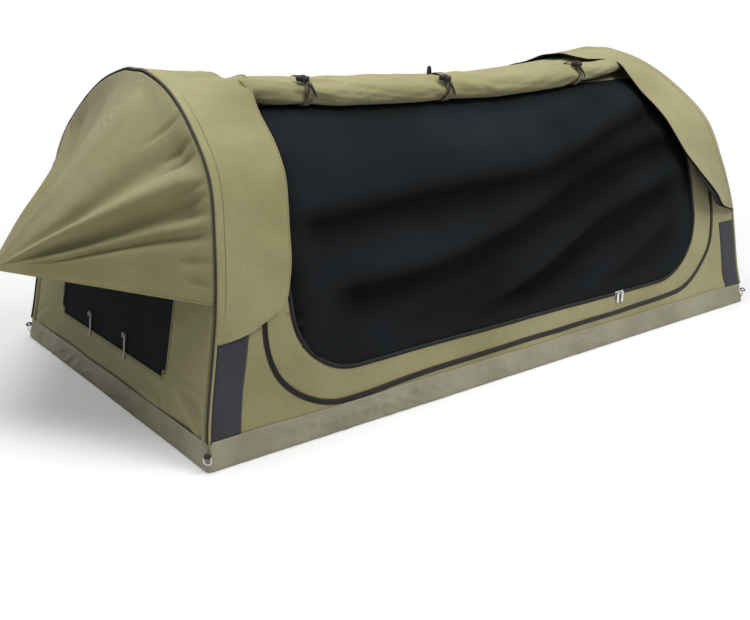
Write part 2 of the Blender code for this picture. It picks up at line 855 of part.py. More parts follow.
def build_ridge():
    """The strap along the ridge and the loop that stands on it."""
    out = canvas_thick + layer_gap
    share = ridge_strap_width / 2 / outline_run
    length_share = ridge_strap_length / 2 / half_length_at(ridge_height)
    place_share = ridge_strap_place / half_length_at(ridge_height)
    across = even(place_share - length_share, place_share + length_share, 4)
    along = [0.5 - share, 0.5, 0.5 + share]
    made = sheet("ridge_strap", lambda a, s: canopy_point(a, s, out), across, along, black_webbing)
    thicken(made, webbing_thick)
    foot = canopy_point(place_share, 0.5, out + webbing_thick / 2)
    points = []
    for turn in even(math.pi, 0.0, 10):
        rise = ridge_loop_height * math.sin(turn)
        points.append(foot + Vector((ridge_loop_half_width * math.cos(turn), 0, rise)))
    loop = strap("ridge_loop", points, Vector((0, 1, 0)), ridge_loop_band, webbing_thick, None)
    join_shapes(made, as_mesh(loop, None, cutters), "UNION")


def window_loop(shrink):
    """The window's outline in the hoop's plane: sill, sides and top, with a notch at the front corner."""
    reach = half_width - window_side_room - shrink
    up = math.cos(lean_angle)
    low = (band_height + window_sill - axis_height) / up + shrink
    high = (ridge_height - window_top_drop - axis_height) / up - shrink
    notch = window_notch
    points = [(-reach + notch, low), (-reach + notch, low + notch), (-reach, low + notch)]
    centre_x, centre_y = reach - window_corner, high - window_corner
    for turn in even(math.pi, math.pi / 2, 3):
        across, rise = window_corner * math.cos(turn), window_corner * math.sin(turn)
        points.append((-centre_x + across, centre_y + rise))
    for turn in even(math.pi / 2, 0.0, 3):
        across, rise = window_corner * math.cos(turn), window_corner * math.sin(turn)
        points.append((centre_x + across, centre_y + rise))
    return points + [(reach, low + notch), (reach - notch, low + notch), (reach - notch, low)]


def build_end(side_name, side):
    """One hoop with its pole, sleeve, end wall, window and awning, all carried on the fold axis."""
    frame = side_frame(side)
    back = frame.inverted()
    axis = axis_at("fold_axis_" + side_name, frame.translation)
    inner_shares = [k / outline_parts for k in range(1, outline_parts)]

    path = [hoop_point(side, share, pole_inset) for share in inner_shares]
    feet = []
    for end in (0.0, 1.0):
        foot = hoop_point(side, end, pole_inset)
        foot.z = axis_height
        foot.x = side * half_length_at(axis_height)
        feet.append(foot)
    down = -frame.col[1].xyz
    middle = len(path) // 2
    tip_shares = ((1.0, 0.1), (0.87, 0.5), (0.5, 0.87), (0.0, 1.0))
    joint_gap = Vector((0, pole_joint_gap / 2, 0))
    sections = {
        "front": (feet[0], path[:middle] + [path[middle] - joint_gap]),
        "back": (feet[1], path[:middle:-1] + [path[middle] + joint_gap]),
    }
    for end_name, (foot, run) in sections.items():
        tip = [foot + down * pole_radius * drop for drop, _ in tip_shares]
        shares = [share for _, share in tip_shares] + [1.0] * len(run)
        pole = wire(f"pole_{side_name}_{end_name}", tip + run, pole_radius, alloy, shares)
        carry(pole, axis)

    top, before, after = path[middle], path[middle - 1], path[middle + 1]
    ferrule_path = [
        top + (before - top).normalized() * ferrule_length / 2,
        top,
        top + (after - top).normalized() * ferrule_length / 2,
    ]
    ferrule = wire("ferrule_" + side_name, ferrule_path, ferrule_radius, alloy, capped=False, fineness=2)
    carry(thicken(ferrule, ferrule_wall), axis)

    starts = [feet[0] + (path[0] - feet[0]).normalized() * sleeve_foot_gap]
    starts.append(feet[1] + (path[-1] - feet[1]).normalized() * sleeve_foot_gap)
    sleeve_path = [starts[0]] + path + [starts[1]]
    sleeve = wire("pole_sleeve_" + side_name, sleeve_path, sleeve_radius, canvas, capped=False)
    carry(thicken(sleeve, sleeve_wall), axis)

    inset = pole_inset + sleeve_radius + sleeve_wall + touch_gap
    outline = []
    for share in inner_shares:
        spot = back @ hoop_point(side, share, inset)
        outline.append((spot.x, spot.y))
    first, last = back @ hoop_point(side, 0.0, inset), back @ hoop_point(side, 1.0, inset)
    hem = math.sqrt(max(pole_radius**2 - (canvas_thick / 2) ** 2, 0.0)) - touch_gap
    outline = [(first.x, -hem)] + outline + [(last.x, -hem)]
    hole = window_loop(0.0)
    if side < 0:
        hole = [(-x, y) for x, y in hole]
    pane = window_loop(window_gap)
    if side < 0:
        pane = [(-x, y) for x, y in pane]
    carry(plate("end_wall_" + side_name, [outline, hole], canvas_thick, frame, canvas), axis)
    carry(plate("window_mesh_" + side_name, [pane], mesh_thick, frame, netting), axis)

    sill = (band_height + window_sill - axis_height) / math.cos(lean_angle)
    reach = half_width - window_side_room
    for end_name, share in zip(ends, window_tie_place_shares):
        across = share * reach * side
        face = canvas_thick / 2 + layer_gap
        run = [
            (sill - tie_strap_foot, face),
            (sill, face),
            (sill + tie_strap_rise, face),
            (sill + tie_strap_rise + tie_strap_hook / 3, face + tie_strap_reach / 4),
            (sill + tie_strap_rise + tie_strap_hook / 2, face + tie_strap_reach / 2),
            (sill + tie_strap_rise + tie_strap_hook / 3, face + tie_strap_reach),
            (sill + tie_strap_rise - tie_strap_hook / 2, face + tie_strap_reach),
        ]
        points = [frame @ Vector((across, rise, out)) for rise, out in run]
        label = f"window_tie_{side_name}_{end_name}"
        made = strap(label, points, frame.col[0].xyz, tie_strap_width, tie_strap_thick, grey_webbing)
        carry(made, axis)

    build_awning(side_name, side, axis)


def awning_point(side, a, b):
    """A point on an awning: a over the hoop from front to back, b from its seam to its tip."""
    low = share_at_height(awning_low)
    share = low + (1 - 2 * low) * a
    if b < 0:
        return hoop_point(side, share, awning_inset, layer_gap)
    root = hoop_point(side, share, awning_inset, awning_flange)
    tip = Vector((
        side * (half_length + awning_reach), awning_tip_width * (a - 0.5), awning_tip_height,
    ))
    _, normal = outline_at(share)
    slant = math.pi * awning_slant_share
    out = Vector((side * math.cos(slant), normal.y * math.sin(slant), normal.z * math.sin(slant)))
    t = min(max((b - awning_flat_from_share) / (awning_flat_share - awning_flat_from_share), 0.0), 1.0)
    flat = t * t * (3 - 2 * t)
    from_peak = (1 - b) / (1 - awning_peak_share)
    bow = b / awning_peak_share * from_peak**2 * math.sin(math.pi * a)
    wave = math.sin(2 * math.pi * awning_fold_count * a) * math.sqrt(b / awning_peak_share) * from_peak
    edge = math.sqrt(abs(math.sin(math.pi * a))) * (1 - flat)
    point = root.lerp(tip, b) + out * (awning_bulge * bow * (1 - flat) + awning_fold * wave * edge)
    crest = hoop_point(side, 0.5, awning_inset, awning_flange)
    crest = crest.lerp(Vector((tip.x, 0, tip.z)), b)
    point.x += (crest.x - point.x) * flat
    point.z += (crest.z - point.z) * flat
    return point


def build_awning(side_name, side, axis):
    """The awning over the window and the webbing tab at its tip."""
    across = even(0, 1, awning_columns)
    if side > 0:
        across.reverse()
    along = [-1.0, *awning_row_shares]
    made = sheet("awning_" + side_name, lambda a, b: awning_point(side, a, b), across, along, canvas)
    carry(thicken(made, canvas_thick), axis)
    tip = awning_point(side, 0.5, 1.0)
    inner = awning_point(side, 0.5, awning_flat_share)
    run = (tip - inner).normalized()
    out = run.cross(Vector((0, side, 0))).normalized()
    if out.x * side < 0:
        out = -out
    start = tip - run * tab_lap - out * layer_gap
    bend = tip - out * layer_gap
    outer = (run * tab_length + Vector((side, 0, 0)) * tab_drop).normalized()
    end = bend + outer * (tab_length - tab_lap)
    width_way = Vector((0, side, 0))
    label = "awning_tab_" + side_name
    tab = strap(label, [start, bend, end], width_way, tab_width, webbing_thick, grey_webbing)
    middle = bend + outer * (tab_length - tab_lap - tab_width / 2)
    face = outer.cross(Vector((0, 1, 0)))
    hole = rod(
        "eyelet_" + side_name, eyelet_radius, cut_overrun,
        frame_of(face, Vector((0, 1, 0)), face.cross(Vector((0, 1, 0))), middle), None, cutters,
    )
    join_shapes(tab, hole, "DIFFERENCE")
    carry(tab, axis)


def build_hood(side_name, side):
    """The band of canvas over a hoop, narrowing to nothing at its two lower ends, with its piping."""
    low = hood_lows[side_name]
    taper = hood_tapers[side_name]
    start = share_at_height(low)
    width = hood_widths[side_name]
    lift = hood_edge_lifts[side_name]
    roll_lift = hood_roll_lifts[side_name]
    roll_share = share_at_height(ridge_height - roll_end_drop)

    def place(a, share):
        spot, _ = outline_at(share)
        fall = min(max((low + taper - spot.z) / taper, 0.0), 1.0)
        wide = max(width * math.sqrt(1 - fall * fall), hood_least_width)
        along_share = side * (1 - wide * a / half_length_at(spot.z))
        near_roll = math.exp(-(((share - roll_share) * outline_run / hood_roll_reach) ** 2))
        rise = (lift + roll_lift * near_roll * a) * a * wide / width
        return canopy_point(along_share, share, hood_seat + rise)

    across = even(0, 1, 4)
    if side > 0:
        across.reverse()
    made = sheet("hood_" + side_name, place, across, stations_between(start, 1 - start), canvas)
    thicken(made, canvas_thick)

    shares = [k / outline_parts for k in range(1, outline_parts)]
    outer = piping_radius + touch_gap
    path = [hoop_point(side, share, -piping_proud, outer) for share in shares]
    feet = [hoop_point(side, end, -piping_proud, outer) for end in (0.0, 1.0)]
    for foot in feet:
        foot.z = band_height + piping_foot_gap
    wire("piping_" + side_name, [feet[0]] + path + [feet[1]], piping_radius, black_webbing)


def build_corner(side_name, side, end_name, end):
    """One corner: the pole's pocket inside, and the patch, the webbing loop and the ring outside."""
    label = side_name + "_" + end_name
    foot = -station_places[0].y
    room = pvc_thick - pvc_overhang + touch_gap
    tall = band_height - pvc_thick - touch_gap
    inner_x = half_length_at(band_height) - room - pocket_radius
    inner_y = foot - room - pocket_radius
    upright = frame_of(
        Vector((0, 0, 1)), Vector((1, 0, 0)), Vector((0, 1, 0)),
        Vector((side * inner_x, end * inner_y, pvc_thick + touch_gap + tall / 2)),
    )
    rod("pole_pocket_" + label, pocket_radius, tall, upright, toggle_plastic)

    start = share_at_height(band_height + patch_foot_gap)
    stop = share_at_height(patch_top)

    def patch_place(a, share):
        spot, _ = outline_at(share)
        inwards = patch_edge_gap + patch_width * a
        along_share = side * (1 - inwards / half_length_at(spot.z))
        return canopy_point(along_share, share, canvas_thick + layer_gap)

    across = [0, 1] if side < 0 else [1, 0]
    along = stations_between(start, stop)
    if end > 0:
        along = [1 - share for share in reversed(along)]
    thicken(sheet("corner_patch_" + label, patch_place, across, along, charcoal), patch_thick)

    outward = Vector((side, end, 0)).normalized()
    tangent = Vector((0, 0, 1)).cross(outward)
    t = loop_height / band_height
    corner_x = half_length + (half_length_at(band_height) - half_length) * t + pvc_overhang
    corner_y = half_width + (foot - half_width) * t + pvc_overhang
    corner = Vector((side * corner_x, end * corner_y, loop_height))
    cut_back = tub_corner * (math.sqrt(2) - 1)
    centre = corner + outward * (loop_reach + webbing_thick + layer_gap / 2 - cut_back)
    frame = frame_of(tangent, outward * -1, Vector((0, 0, 1)), centre)
    radii = (loop_reach, loop_half_height, loop_half_height)
    band_loop("corner_loop_" + label, frame, radii, loop_band, webbing_thick, black_webbing)

    bar = centre + Vector((0, 0, -loop_half_height * loop_flat_share + ring_wire + touch_gap))
    points = [bar - tangent * ring_bar, bar + tangent * ring_bar]
    for turn in even(0.0, math.pi, 8):
        drop = ring_drop + ring_bar * math.sin(turn)
        points.append(bar + tangent * ring_bar * math.cos(turn) - Vector((0, 0, drop)))
    ring = wire("corner_ring_" + label, points, ring_wire, silver, cyclic=True)
    carry(ring, axis_at("ring_axis_" + label, bar))


build_tub()
build_mattress()
build_walls()
build_door()
build_zips()
build_sliders()
build_roll()
build_ridge()
for side_name, side in sides.items():
    build_end(side_name, side)
    build_hood(side_name, side)
    for end_name, end in ends.items():
        build_corner(side_name, side, end_name, end)
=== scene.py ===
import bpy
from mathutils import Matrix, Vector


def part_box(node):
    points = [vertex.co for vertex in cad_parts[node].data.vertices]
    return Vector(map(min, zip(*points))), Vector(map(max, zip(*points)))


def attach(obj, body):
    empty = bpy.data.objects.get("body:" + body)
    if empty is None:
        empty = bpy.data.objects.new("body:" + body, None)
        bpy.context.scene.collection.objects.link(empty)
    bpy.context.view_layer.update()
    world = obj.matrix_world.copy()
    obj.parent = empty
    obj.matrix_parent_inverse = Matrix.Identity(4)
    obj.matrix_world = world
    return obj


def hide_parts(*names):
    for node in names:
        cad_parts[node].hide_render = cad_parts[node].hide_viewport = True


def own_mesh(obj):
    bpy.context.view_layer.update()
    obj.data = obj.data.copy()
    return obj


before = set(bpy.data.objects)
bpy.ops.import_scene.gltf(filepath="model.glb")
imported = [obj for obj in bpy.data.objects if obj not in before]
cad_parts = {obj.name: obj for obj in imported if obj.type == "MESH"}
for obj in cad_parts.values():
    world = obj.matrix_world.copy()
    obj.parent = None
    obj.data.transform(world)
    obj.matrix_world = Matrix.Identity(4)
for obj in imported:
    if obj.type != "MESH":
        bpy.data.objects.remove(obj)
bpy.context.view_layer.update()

import bisect
import math
import bmesh
import bpy
from mathutils import Matrix, Vector, noise

scene = bpy.context.scene
bpy.ops.object.select_all(action="DESELECT")

# General shape, the same line over the hoops as in the CAD
swag = {"length": 2.15, "width": 1.20, "ridge": 0.86, "lean": 0.168, "sag": 0.06, "sagZone": 0.11,
        "band": 0.06, "foldKeep": 0.22}
hoopShares = [(1.0, 0.0), (0.957, 0.14), (0.934, 0.33), (0.914, 0.44), (0.853, 0.593), (0.757, 0.747),
              (0.562, 0.867), (0.342, 0.953), (0.12, 0.996), (0.0, 1.0)]
slack = {"deep": 0.0055, "crease": 0.0028, "hoopShare": 0.08, "bandFade": 0.05}
lineSteps = 60  # places on the hoop's line between two of its shares
sides = {"left": -1, "right": 1}
ends = {"front": -1, "back": 1}


def wobble(a, b, c):  # smooth noise, the same at every run
    return noise.noise(Vector((a, b, c)))


def smoothStep(t):
    t = min(max(t, 0.0), 1.0)
    return t * t * (3 - 2 * t)


def bump(x, centre, width):  # a soft hill, 1 at its centre
    return math.exp(-((x - centre) / width) ** 2)


def onProfile(profile, x):  # smooth value between listed (x, value) places
    i = min(max(bisect.bisect_right([p[0] for p in profile], x), 1), len(profile) - 1)
    (x0, y0), (x1, y1) = profile[i - 1], profile[i]
    before, after = profile[max(i - 2, 0)], profile[min(i + 1, len(profile) - 1)]
    t = min(max((x - x0) / (x1 - x0), 0.0), 1.0)
    rise0 = (y1 - before[1]) / (x1 - before[0]) * (x1 - x0)
    rise1 = (after[1] - y0) / (after[0] - x0) * (x1 - x0)
    gap = y1 - y0
    return y0 + (3 * gap - 2 * rise0 - rise1) * t**2 + rise0 * t + (rise0 + rise1 - 2 * gap) * t**3


def hoopLine():  # dense line from the front foot over the ridge to the back foot
    half = [(-a * swag["width"] / 2, b * swag["ridge"]) for a, b in hoopShares]
    whole = half + [(-a, b) for a, b in reversed(half[:-1])]
    line = []
    for i in range(len(whole) - 1):
        p, q, r, s = whole[max(i - 1, 0)], whole[i], whole[i + 1], whole[min(i + 2, len(whole) - 1)]
        for k in range(lineSteps):
            t = k / lineSteps
            line.append(tuple(0.5 * (2 * b + (c - a) * t + (2 * a - 5 * b + 4 * c - d) * t**2
                                     + (3 * b - a - 3 * c + d) * t**3) for a, b, c, d in zip(p, q, r, s)))
    line.append(whole[-1])
    runs = [0.0]
    for (y0, z0), (y1, z1) in zip(line, line[1:]):
        runs.append(runs[-1] + math.hypot(y1 - y0, z1 - z0))
    foot = next(i for i, (y, z) in enumerate(line) if z > swag["band"])
    t = (swag["band"] - line[foot - 1][1]) / (line[foot][1] - line[foot - 1][1])
    start = runs[foot - 1] + (runs[foot] - runs[foot - 1]) * t
    return line, [r - start for r in runs]


hoopPoints, hoopRuns = hoopLine()
hoopRun = hoopRuns[-1] + hoopRuns[0]  # from band to band
midRun = hoopRun / 2


def outlineAt(s):  # place and normal at an arc length from the front foot, in metres
    i = min(max(bisect.bisect_right(hoopRuns, s) - 1, 1), len(hoopRuns) - 3)
    t = (s - hoopRuns[i]) / (hoopRuns[i + 1] - hoopRuns[i])
    y = hoopPoints[i][0] + (hoopPoints[i + 1][0] - hoopPoints[i][0]) * t
    z = hoopPoints[i][1] + (hoopPoints[i + 1][1] - hoopPoints[i][1]) * t
    before, after = [Vector([high - low for low, high in zip(hoopPoints[k], hoopPoints[k + 2])])
                     for k in (i - 1, i)]
    along = before.normalized().lerp(after.normalized(), t).normalized()
    return y, z, -along.y, along.x


def normalAt(s):  # the outline's normal, out of the swag
    return Vector((0, *outlineAt(s)[2:]))


frontHeights = [(z, r) for (y, z), r in zip(hoopPoints, hoopRuns) if y <= 0]


def runAtHeight(height):  # arc length at which the front side reaches a height
    i = min(max(bisect.bisect_right(frontHeights, (height, 0.0)), 1), len(frontHeights) - 1)
    (z0, r0), (z1, r1) = frontHeights[i - 1], frontHeights[i]
    return r0 + (r1 - r0) * (height - z0) / (z1 - z0)


def halfLengthAt(z):
    return swag["length"] / 2 - swag["lean"] * z / swag["ridge"]


def sagAt(z, u):
    high = smoothStep((z - swag["ridge"] + swag["sagZone"]) / swag["sagZone"])
    return swag["sag"] * (1 - abs(u) ** 3) * high


def relief(x, s, u):  # slack and tension in the canvas, none at the hoops and at the band
    fade = smoothStep((1 - abs(u)) / slack["hoopShare"])
    fade *= smoothStep(s / slack["bandFade"]) * smoothStep((hoopRun - s) / slack["bandFade"])
    sag = slack["deep"] * wobble(x * 2.6, s * 3.4, 1.7)
    crease = slack["crease"] * wobble(x * 9.0 + s * 5.0, s * 14.0, 8.3)
    return (sag + crease) * fade


def canopyPoint(u, s, out=0.0):
    y, z, ny, nz = outlineAt(s)
    x = u * halfLengthAt(z)
    push = out + relief(x, s, u)
    return Vector((x, y + ny * push, z + nz * push - sagAt(z, u)))


def frontPoint(x, height, out=0.0):
    level = height
    for _ in range(4):
        level = height + sagAt(level, x / halfLengthAt(level))
    return canopyPoint(x / halfLengthAt(level), runAtHeight(level), out)


leanAngle = math.atan2(swag["lean"], swag["ridge"])


def hoopPoint(side, s, inset, along=0.0):  # in a hoop's leaning plane, or moved out along its normal
    y, z, ny, nz = outlineAt(s)
    y, z = y - ny * inset, z - nz * inset
    x = halfLengthAt(z) + math.cos(leanAngle) * along
    return Vector((side * x, y, z + math.sin(leanAngle) * along))


# Making meshes
def meshObject(name, points, faces, uvs=None):
    mesh = bpy.data.meshes.new(name)
    mesh.from_pydata([tuple(p) for p in points], [], faces)
    if uvs:
        layer = mesh.uv_layers.new(name="cloth")
        for loop in mesh.loops:
            layer.data[loop.index].uv = uvs[loop.vertex_index]
    piece = bpy.data.objects.new(name, mesh)
    scene.collection.objects.link(piece)
    return piece


def gridFaces(columns, rows, skip=None):
    return [(i * rows + j, (i + 1) * rows + j, (i + 1) * rows + j + 1, i * rows + j + 1)
            for i in range(columns - 1) for j in range(rows - 1) if not (skip and skip(i, j))]


def sheetObject(name, place, across, along, uvScale=(1.0, 1.0)):  # place(a, b) gives each point
    points = [place(a, b) for a in across for b in along]
    uvs = [(a * uvScale[0], b * uvScale[1]) for a in across for b in along]
    return meshObject(name, points, gridFaces(len(across), len(along)), uvs)


def spread(low, high, count):
    return [low + (high - low) * i / (count - 1) for i in range(count)]


def applyAll(piece):  # applies every modifier, as from the menu
    bpy.ops.object.select_all(action="DESELECT")
    bpy.context.view_layer.objects.active = piece
    piece.select_set(True)
    for modifier in list(piece.modifiers):
        bpy.ops.object.modifier_apply(modifier=modifier.name)
    piece.select_set(False)


def reshape(piece, *changes):  # runs bmesh changes on a piece's mesh
    work = bmesh.new()
    work.from_mesh(piece.data)
    for change in changes:
        change(work)
    work.to_mesh(piece.data)
    work.free()


def mergeDoubled(work, distance=0.00002):
    bmesh.ops.remove_doubles(work, verts=work.verts[:], dist=distance)


def dropLoose(work):
    bmesh.ops.delete(work, geom=[v for v in work.verts if not v.link_faces], context="VERTS")


def faceOutwards(work):
    bmesh.ops.recalc_face_normals(work, faces=work.faces[:])


def shadeSmooth(piece, corners=5):  # faces with this many corners or more, such as flat caps, stay flat
    piece.data.polygons.foreach_set("use_smooth", [len(f.vertices) < corners for f in piece.data.polygons])


def thickCloth(piece, thickness, offset=1.0, inner=None):  # offset 1 thickens along the normal
    reshape(piece, mergeDoubled, dropLoose)
    wall = piece.modifiers.new("wall", "SOLIDIFY")
    wall.thickness = thickness
    wall.offset = offset
    if inner is not None:
        wall.material_offset = inner
    applyAll(piece)
    piece.data.polygons.foreach_set("use_smooth", [True] * len(piece.data.polygons))
    return piece


def finish(piece, materials, body, replaced=(), slot=None, squashed=None):
    piece.data.materials.clear()
    for material in materials if isinstance(materials, (list, tuple)) else [materials]:
        piece.data.materials.append(material)
    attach(piece, body)
    if replaced:
        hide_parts(*replaced)
    if squashed is None:
        squashed = body in ("base", "door") or body.startswith(("slider", "pull"))
    if squashed:  # the piece gets a mesh of its own
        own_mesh(piece)
    return piece


def ringFaces(count, around, closed=False):  # faces between rings of points, with caps on an open end
    faces = []
    for i in range(count if closed else count - 1):
        ring, above = i * around, (i + 1) % count * around
        for k in range(around):
            following = (k + 1) % around
            faces.append((ring + k, ring + following, above + following, above + k))
    if not closed:
        faces += [tuple(reversed(range(around))), tuple((count - 1) * around + k for k in range(around))]
    return faces


def tubeAlong(name, points, radius, around=12, closed=False, radii=None, flatten=1.0):  # a round bar
    ringPoints = []
    count = len(points)
    normal = None
    for i, point in enumerate(points):
        before = points[i - 1] if i or closed else points[0]
        after = points[(i + 1) % count] if i < count - 1 or closed else points[-1]
        tangent = (after - before).normalized()
        if normal is None:
            normal = tangent.orthogonal().normalized()
        normal = (normal - tangent * normal.dot(tangent)).normalized()
        binormal = tangent.cross(normal)
        r = radius * (radii[i] if radii else 1.0)
        turns = [2 * math.pi * k / around for k in range(around)]
        ringPoints += [point + normal * r * math.cos(t) + binormal * r * flatten * math.sin(t) for t in turns]
    piece = meshObject(name, ringPoints, ringFaces(count, around, closed))
    reshape(piece, mergeDoubled, faceOutwards)
    shadeSmooth(piece)
    return piece


strapShares = [(-0.5, 0.0), (-0.5, 0.6), (-0.42, 1.0), (0.0, 1.0), (0.42, 1.0), (0.5, 0.6), (0.5, 0.0),
               (0.42, -0.4), (0.0, -0.4), (-0.42, -0.4)]  # a strap's section, of its width and thickness


def webStrap(name, points, across, width, thickness):  # flat webbing along points, with rounded edges
    count = len(points)
    ringPoints, uvs, run = [], [], 0.0
    for i, point in enumerate(points):
        along = (points[min(i + 1, count - 1)] - points[max(i - 1, 0)]).normalized()
        face = across.cross(along).normalized()
        if i:
            run += (point - points[i - 1]).length
        for b, h in strapShares:
            ringPoints.append(point + across * b * width + face * (h * thickness * 0.7))
            uvs.append((run, b * width))
    piece = meshObject(name, ringPoints, ringFaces(count, len(strapShares)), uvs)
    reshape(piece, faceOutwards)
    shadeSmooth(piece)
    return piece


# Materials
def hexColour(code):  # an sRGB hex code to linear
    parts = [int(code[i : i + 2], 16) / 255 for i in (1, 3, 5)]
    return tuple(p / 12.92 if p <= 0.04045 else ((p + 0.055) / 1.055) ** 2.4 for p in parts) + (1.0,)


def addNode(tree, kind, settings=None, links=None, values=None):
    node = tree.nodes.new(kind)
    for key, value in (settings or {}).items():
        setattr(node, key, value)
    for key, value in (values or {}).items():
        node.inputs[key].default_value = value
    for key, source in (links or {}).items():
        tree.links.new(source, node.inputs[key])
    return node


def newMaterial(name, shaderValues):
    material = bpy.data.materials.new(name)
    material.use_nodes = True
    tree = material.node_tree
    shader = tree.nodes["Principled BSDF"]
    for key, value in shaderValues.items():
        shader.inputs[key].default_value = value
    return material, tree, shader


def clothMaterial(name, base, dark, light, threadMm, bumpMm, rough, sheen=0.25, patches=2.2, patchAmount=0.5,
                  weaveAmount=0.35, useUv=False, specular=0.25, rumpleMm=6.0):
    material, tree, shader = newMaterial(name, {"Roughness": rough, "Sheen Weight": sheen,
                                                "Sheen Roughness": 0.6, "Specular IOR Level": specular})
    where = addNode(tree, "ShaderNodeTexCoord")
    source = where.outputs["UV" if useUv else "Object"]
    cloud = addNode(tree, "ShaderNodeTexNoise", links={"Vector": where.outputs["Object"]},
                    values={"Scale": patches, "Detail": 4.0, "Roughness": 0.55})
    blotch = addNode(tree, "ShaderNodeValToRGB", links={"Fac": cloud.outputs["Fac"]})
    blotch.color_ramp.elements[0].position = 0.35
    blotch.color_ramp.elements[0].color = hexColour(dark)
    blotch.color_ramp.elements[1].position = 0.68
    blotch.color_ramp.elements[1].color = hexColour(light)
    tone = addNode(tree, "ShaderNodeMix", {"data_type": "RGBA"}, {"B": blotch.outputs["Color"]},
                   {"Factor": patchAmount, "A": hexColour(base)})
    period = 2 * math.pi / (threadMm / 1000)
    turn = addNode(tree, "ShaderNodeVectorMath", {"operation": "SCALE"}, {"Vector": source},
                   {"Scale": period})
    split = addNode(tree, "ShaderNodeSeparateXYZ", links={"Vector": turn.outputs["Vector"]})
    waves = []
    for axis in ("X", "Y") if useUv else ("X", "Y", "Z"):
        sine = addNode(tree, "ShaderNodeMath", {"operation": "SINE"}, {0: split.outputs[axis]})
        waves.append(sine.outputs[0])
    crossed = addNode(tree, "ShaderNodeMath", {"operation": "MULTIPLY"}, {0: waves[0], 1: waves[1]})
    if not useUv:
        crossed = addNode(tree, "ShaderNodeMath", {"operation": "MULTIPLY_ADD"},
                          {0: waves[0], 1: waves[2], 2: crossed.outputs[0]})
    slub = addNode(tree, "ShaderNodeTexNoise", links={"Vector": source},
                   values={"Scale": 260.0 / threadMm, "Detail": 2.0, "Roughness": 0.6})
    weave = addNode(tree, "ShaderNodeMath", {"operation": "MULTIPLY_ADD"},
                    {0: slub.outputs["Fac"], 2: crossed.outputs[0]}, {1: 1.6})
    shade = addNode(tree, "ShaderNodeMapRange", links={"Value": weave.outputs[0]},
                    values={"From Min": -1.0, "From Max": 2.4, "To Min": 1 - weaveAmount,
                            "To Max": 1 + weaveAmount * 0.6})
    toned = addNode(tree, "ShaderNodeMix", {"data_type": "RGBA", "blend_type": "MULTIPLY"},
                    {"A": tone.outputs["Result"], "B": shade.outputs["Result"]}, {"Factor": 1.0})
    tree.links.new(toned.outputs["Result"], shader.inputs["Base Color"])
    relievo = addNode(tree, "ShaderNodeBump", links={"Height": weave.outputs[0]},
                      values={"Strength": 0.6, "Distance": bumpMm / 1000})
    creases = addNode(tree, "ShaderNodeTexNoise", links={"Vector": where.outputs["Object"]},
                      values={"Scale": 9.0, "Detail": 5.0, "Roughness": 0.6, "Distortion": 0.6})
    rumple = addNode(tree, "ShaderNodeBump", None,
                     {"Height": creases.outputs["Fac"], "Normal": relievo.outputs["Normal"]},
                     {"Strength": 0.5, "Distance": rumpleMm / 1000})
    tree.links.new(rumple.outputs["Normal"], shader.inputs["Normal"])
    return material


def metalMaterial(name, colour, rough, grainScale):
    material, tree, shader = newMaterial(name, {"Base Color": hexColour(colour), "Metallic": 1.0,
                                                "Roughness": rough})
    where = addNode(tree, "ShaderNodeTexCoord")
    grain = addNode(tree, "ShaderNodeTexNoise", links={"Vector": where.outputs["Object"]},
                    values={"Scale": grainScale, "Detail": 3.0, "Roughness": 0.6})
    dull = addNode(tree, "ShaderNodeMapRange", links={"Value": grain.outputs["Fac"]},
                   values={"To Min": rough * 0.75, "To Max": min(rough * 1.4, 1.0)})
    tree.links.new(dull.outputs["Result"], shader.inputs["Roughness"])
    pits = addNode(tree, "ShaderNodeBump", links={"Height": grain.outputs["Fac"]},
                   values={"Strength": 0.15, "Distance": 0.0002})
    tree.links.new(pits.outputs["Normal"], shader.inputs["Normal"])
    return material


# polycotton canvas, plain woven and proofed: matt, a little pale where it is stretched
polycottonCanvas = clothMaterial("polycottonCanvas", "#8e885f", "#807a52", "#9f9973", 1.1, 0.12, 0.88,
                                 sheen=0.12, patches=3.4, patchAmount=0.6, rumpleMm=8.0)
# black acrylic coating on the back of the canvas: flat black with the weave just showing
coatedBack = clothMaterial("coatedBack", "#0e0e10", "#0b0b0c", "#141416", 1.1, 0.10, 0.70, sheen=0.0,
                           specular=0.12)
# PVC-coated polyester: smooth, slightly shiny, greyer than the canvas, creased
pvcCloth = clothMaterial("pvcCloth", "#8b8771", "#787460", "#9f9b85", 1.6, 0.06, 0.50, sheen=0.0, patches=7.0,
                         weaveAmount=0.16, rumpleMm=12.0)
# knitted polyester insect mesh: black and fine, so it reads as a soft dark cloth
insectMesh = clothMaterial("insectMesh", "#1b1e20", "#151719", "#222528", 1.4, 0.12, 0.80, sheen=0.0,
                           patches=3.0, specular=0.04, rumpleMm=3.0)
# painted shade: the netting is darkened in the door's creases, more where a crease is deeper, for the shade
# that falls there
tree = insectMesh.node_tree
paint = tree.nodes["Principled BSDF"].inputs["Base Color"]
creaseShadeMask = addNode(tree, "ShaderNodeAttribute", {"attribute_name": "crease"})
paintedCreaseShade = addNode(tree, "ShaderNodeMix", {"data_type": "RGBA", "blend_type": "MULTIPLY"},
                 {"Factor": creaseShadeMask.outputs["Fac"], "A": paint.links[0].from_socket},
                 {"B": hexColour("#868686")})
tree.links.new(paintedCreaseShade.outputs["Result"], paint)
# coarse coated nylon: charcoal with a violet tint
coatedNylon = clothMaterial("coatedNylon", "#323237", "#2b2b30", "#3d3c43", 2.2, 0.20, 0.72, sheen=0.05,
                            specular=0.2)
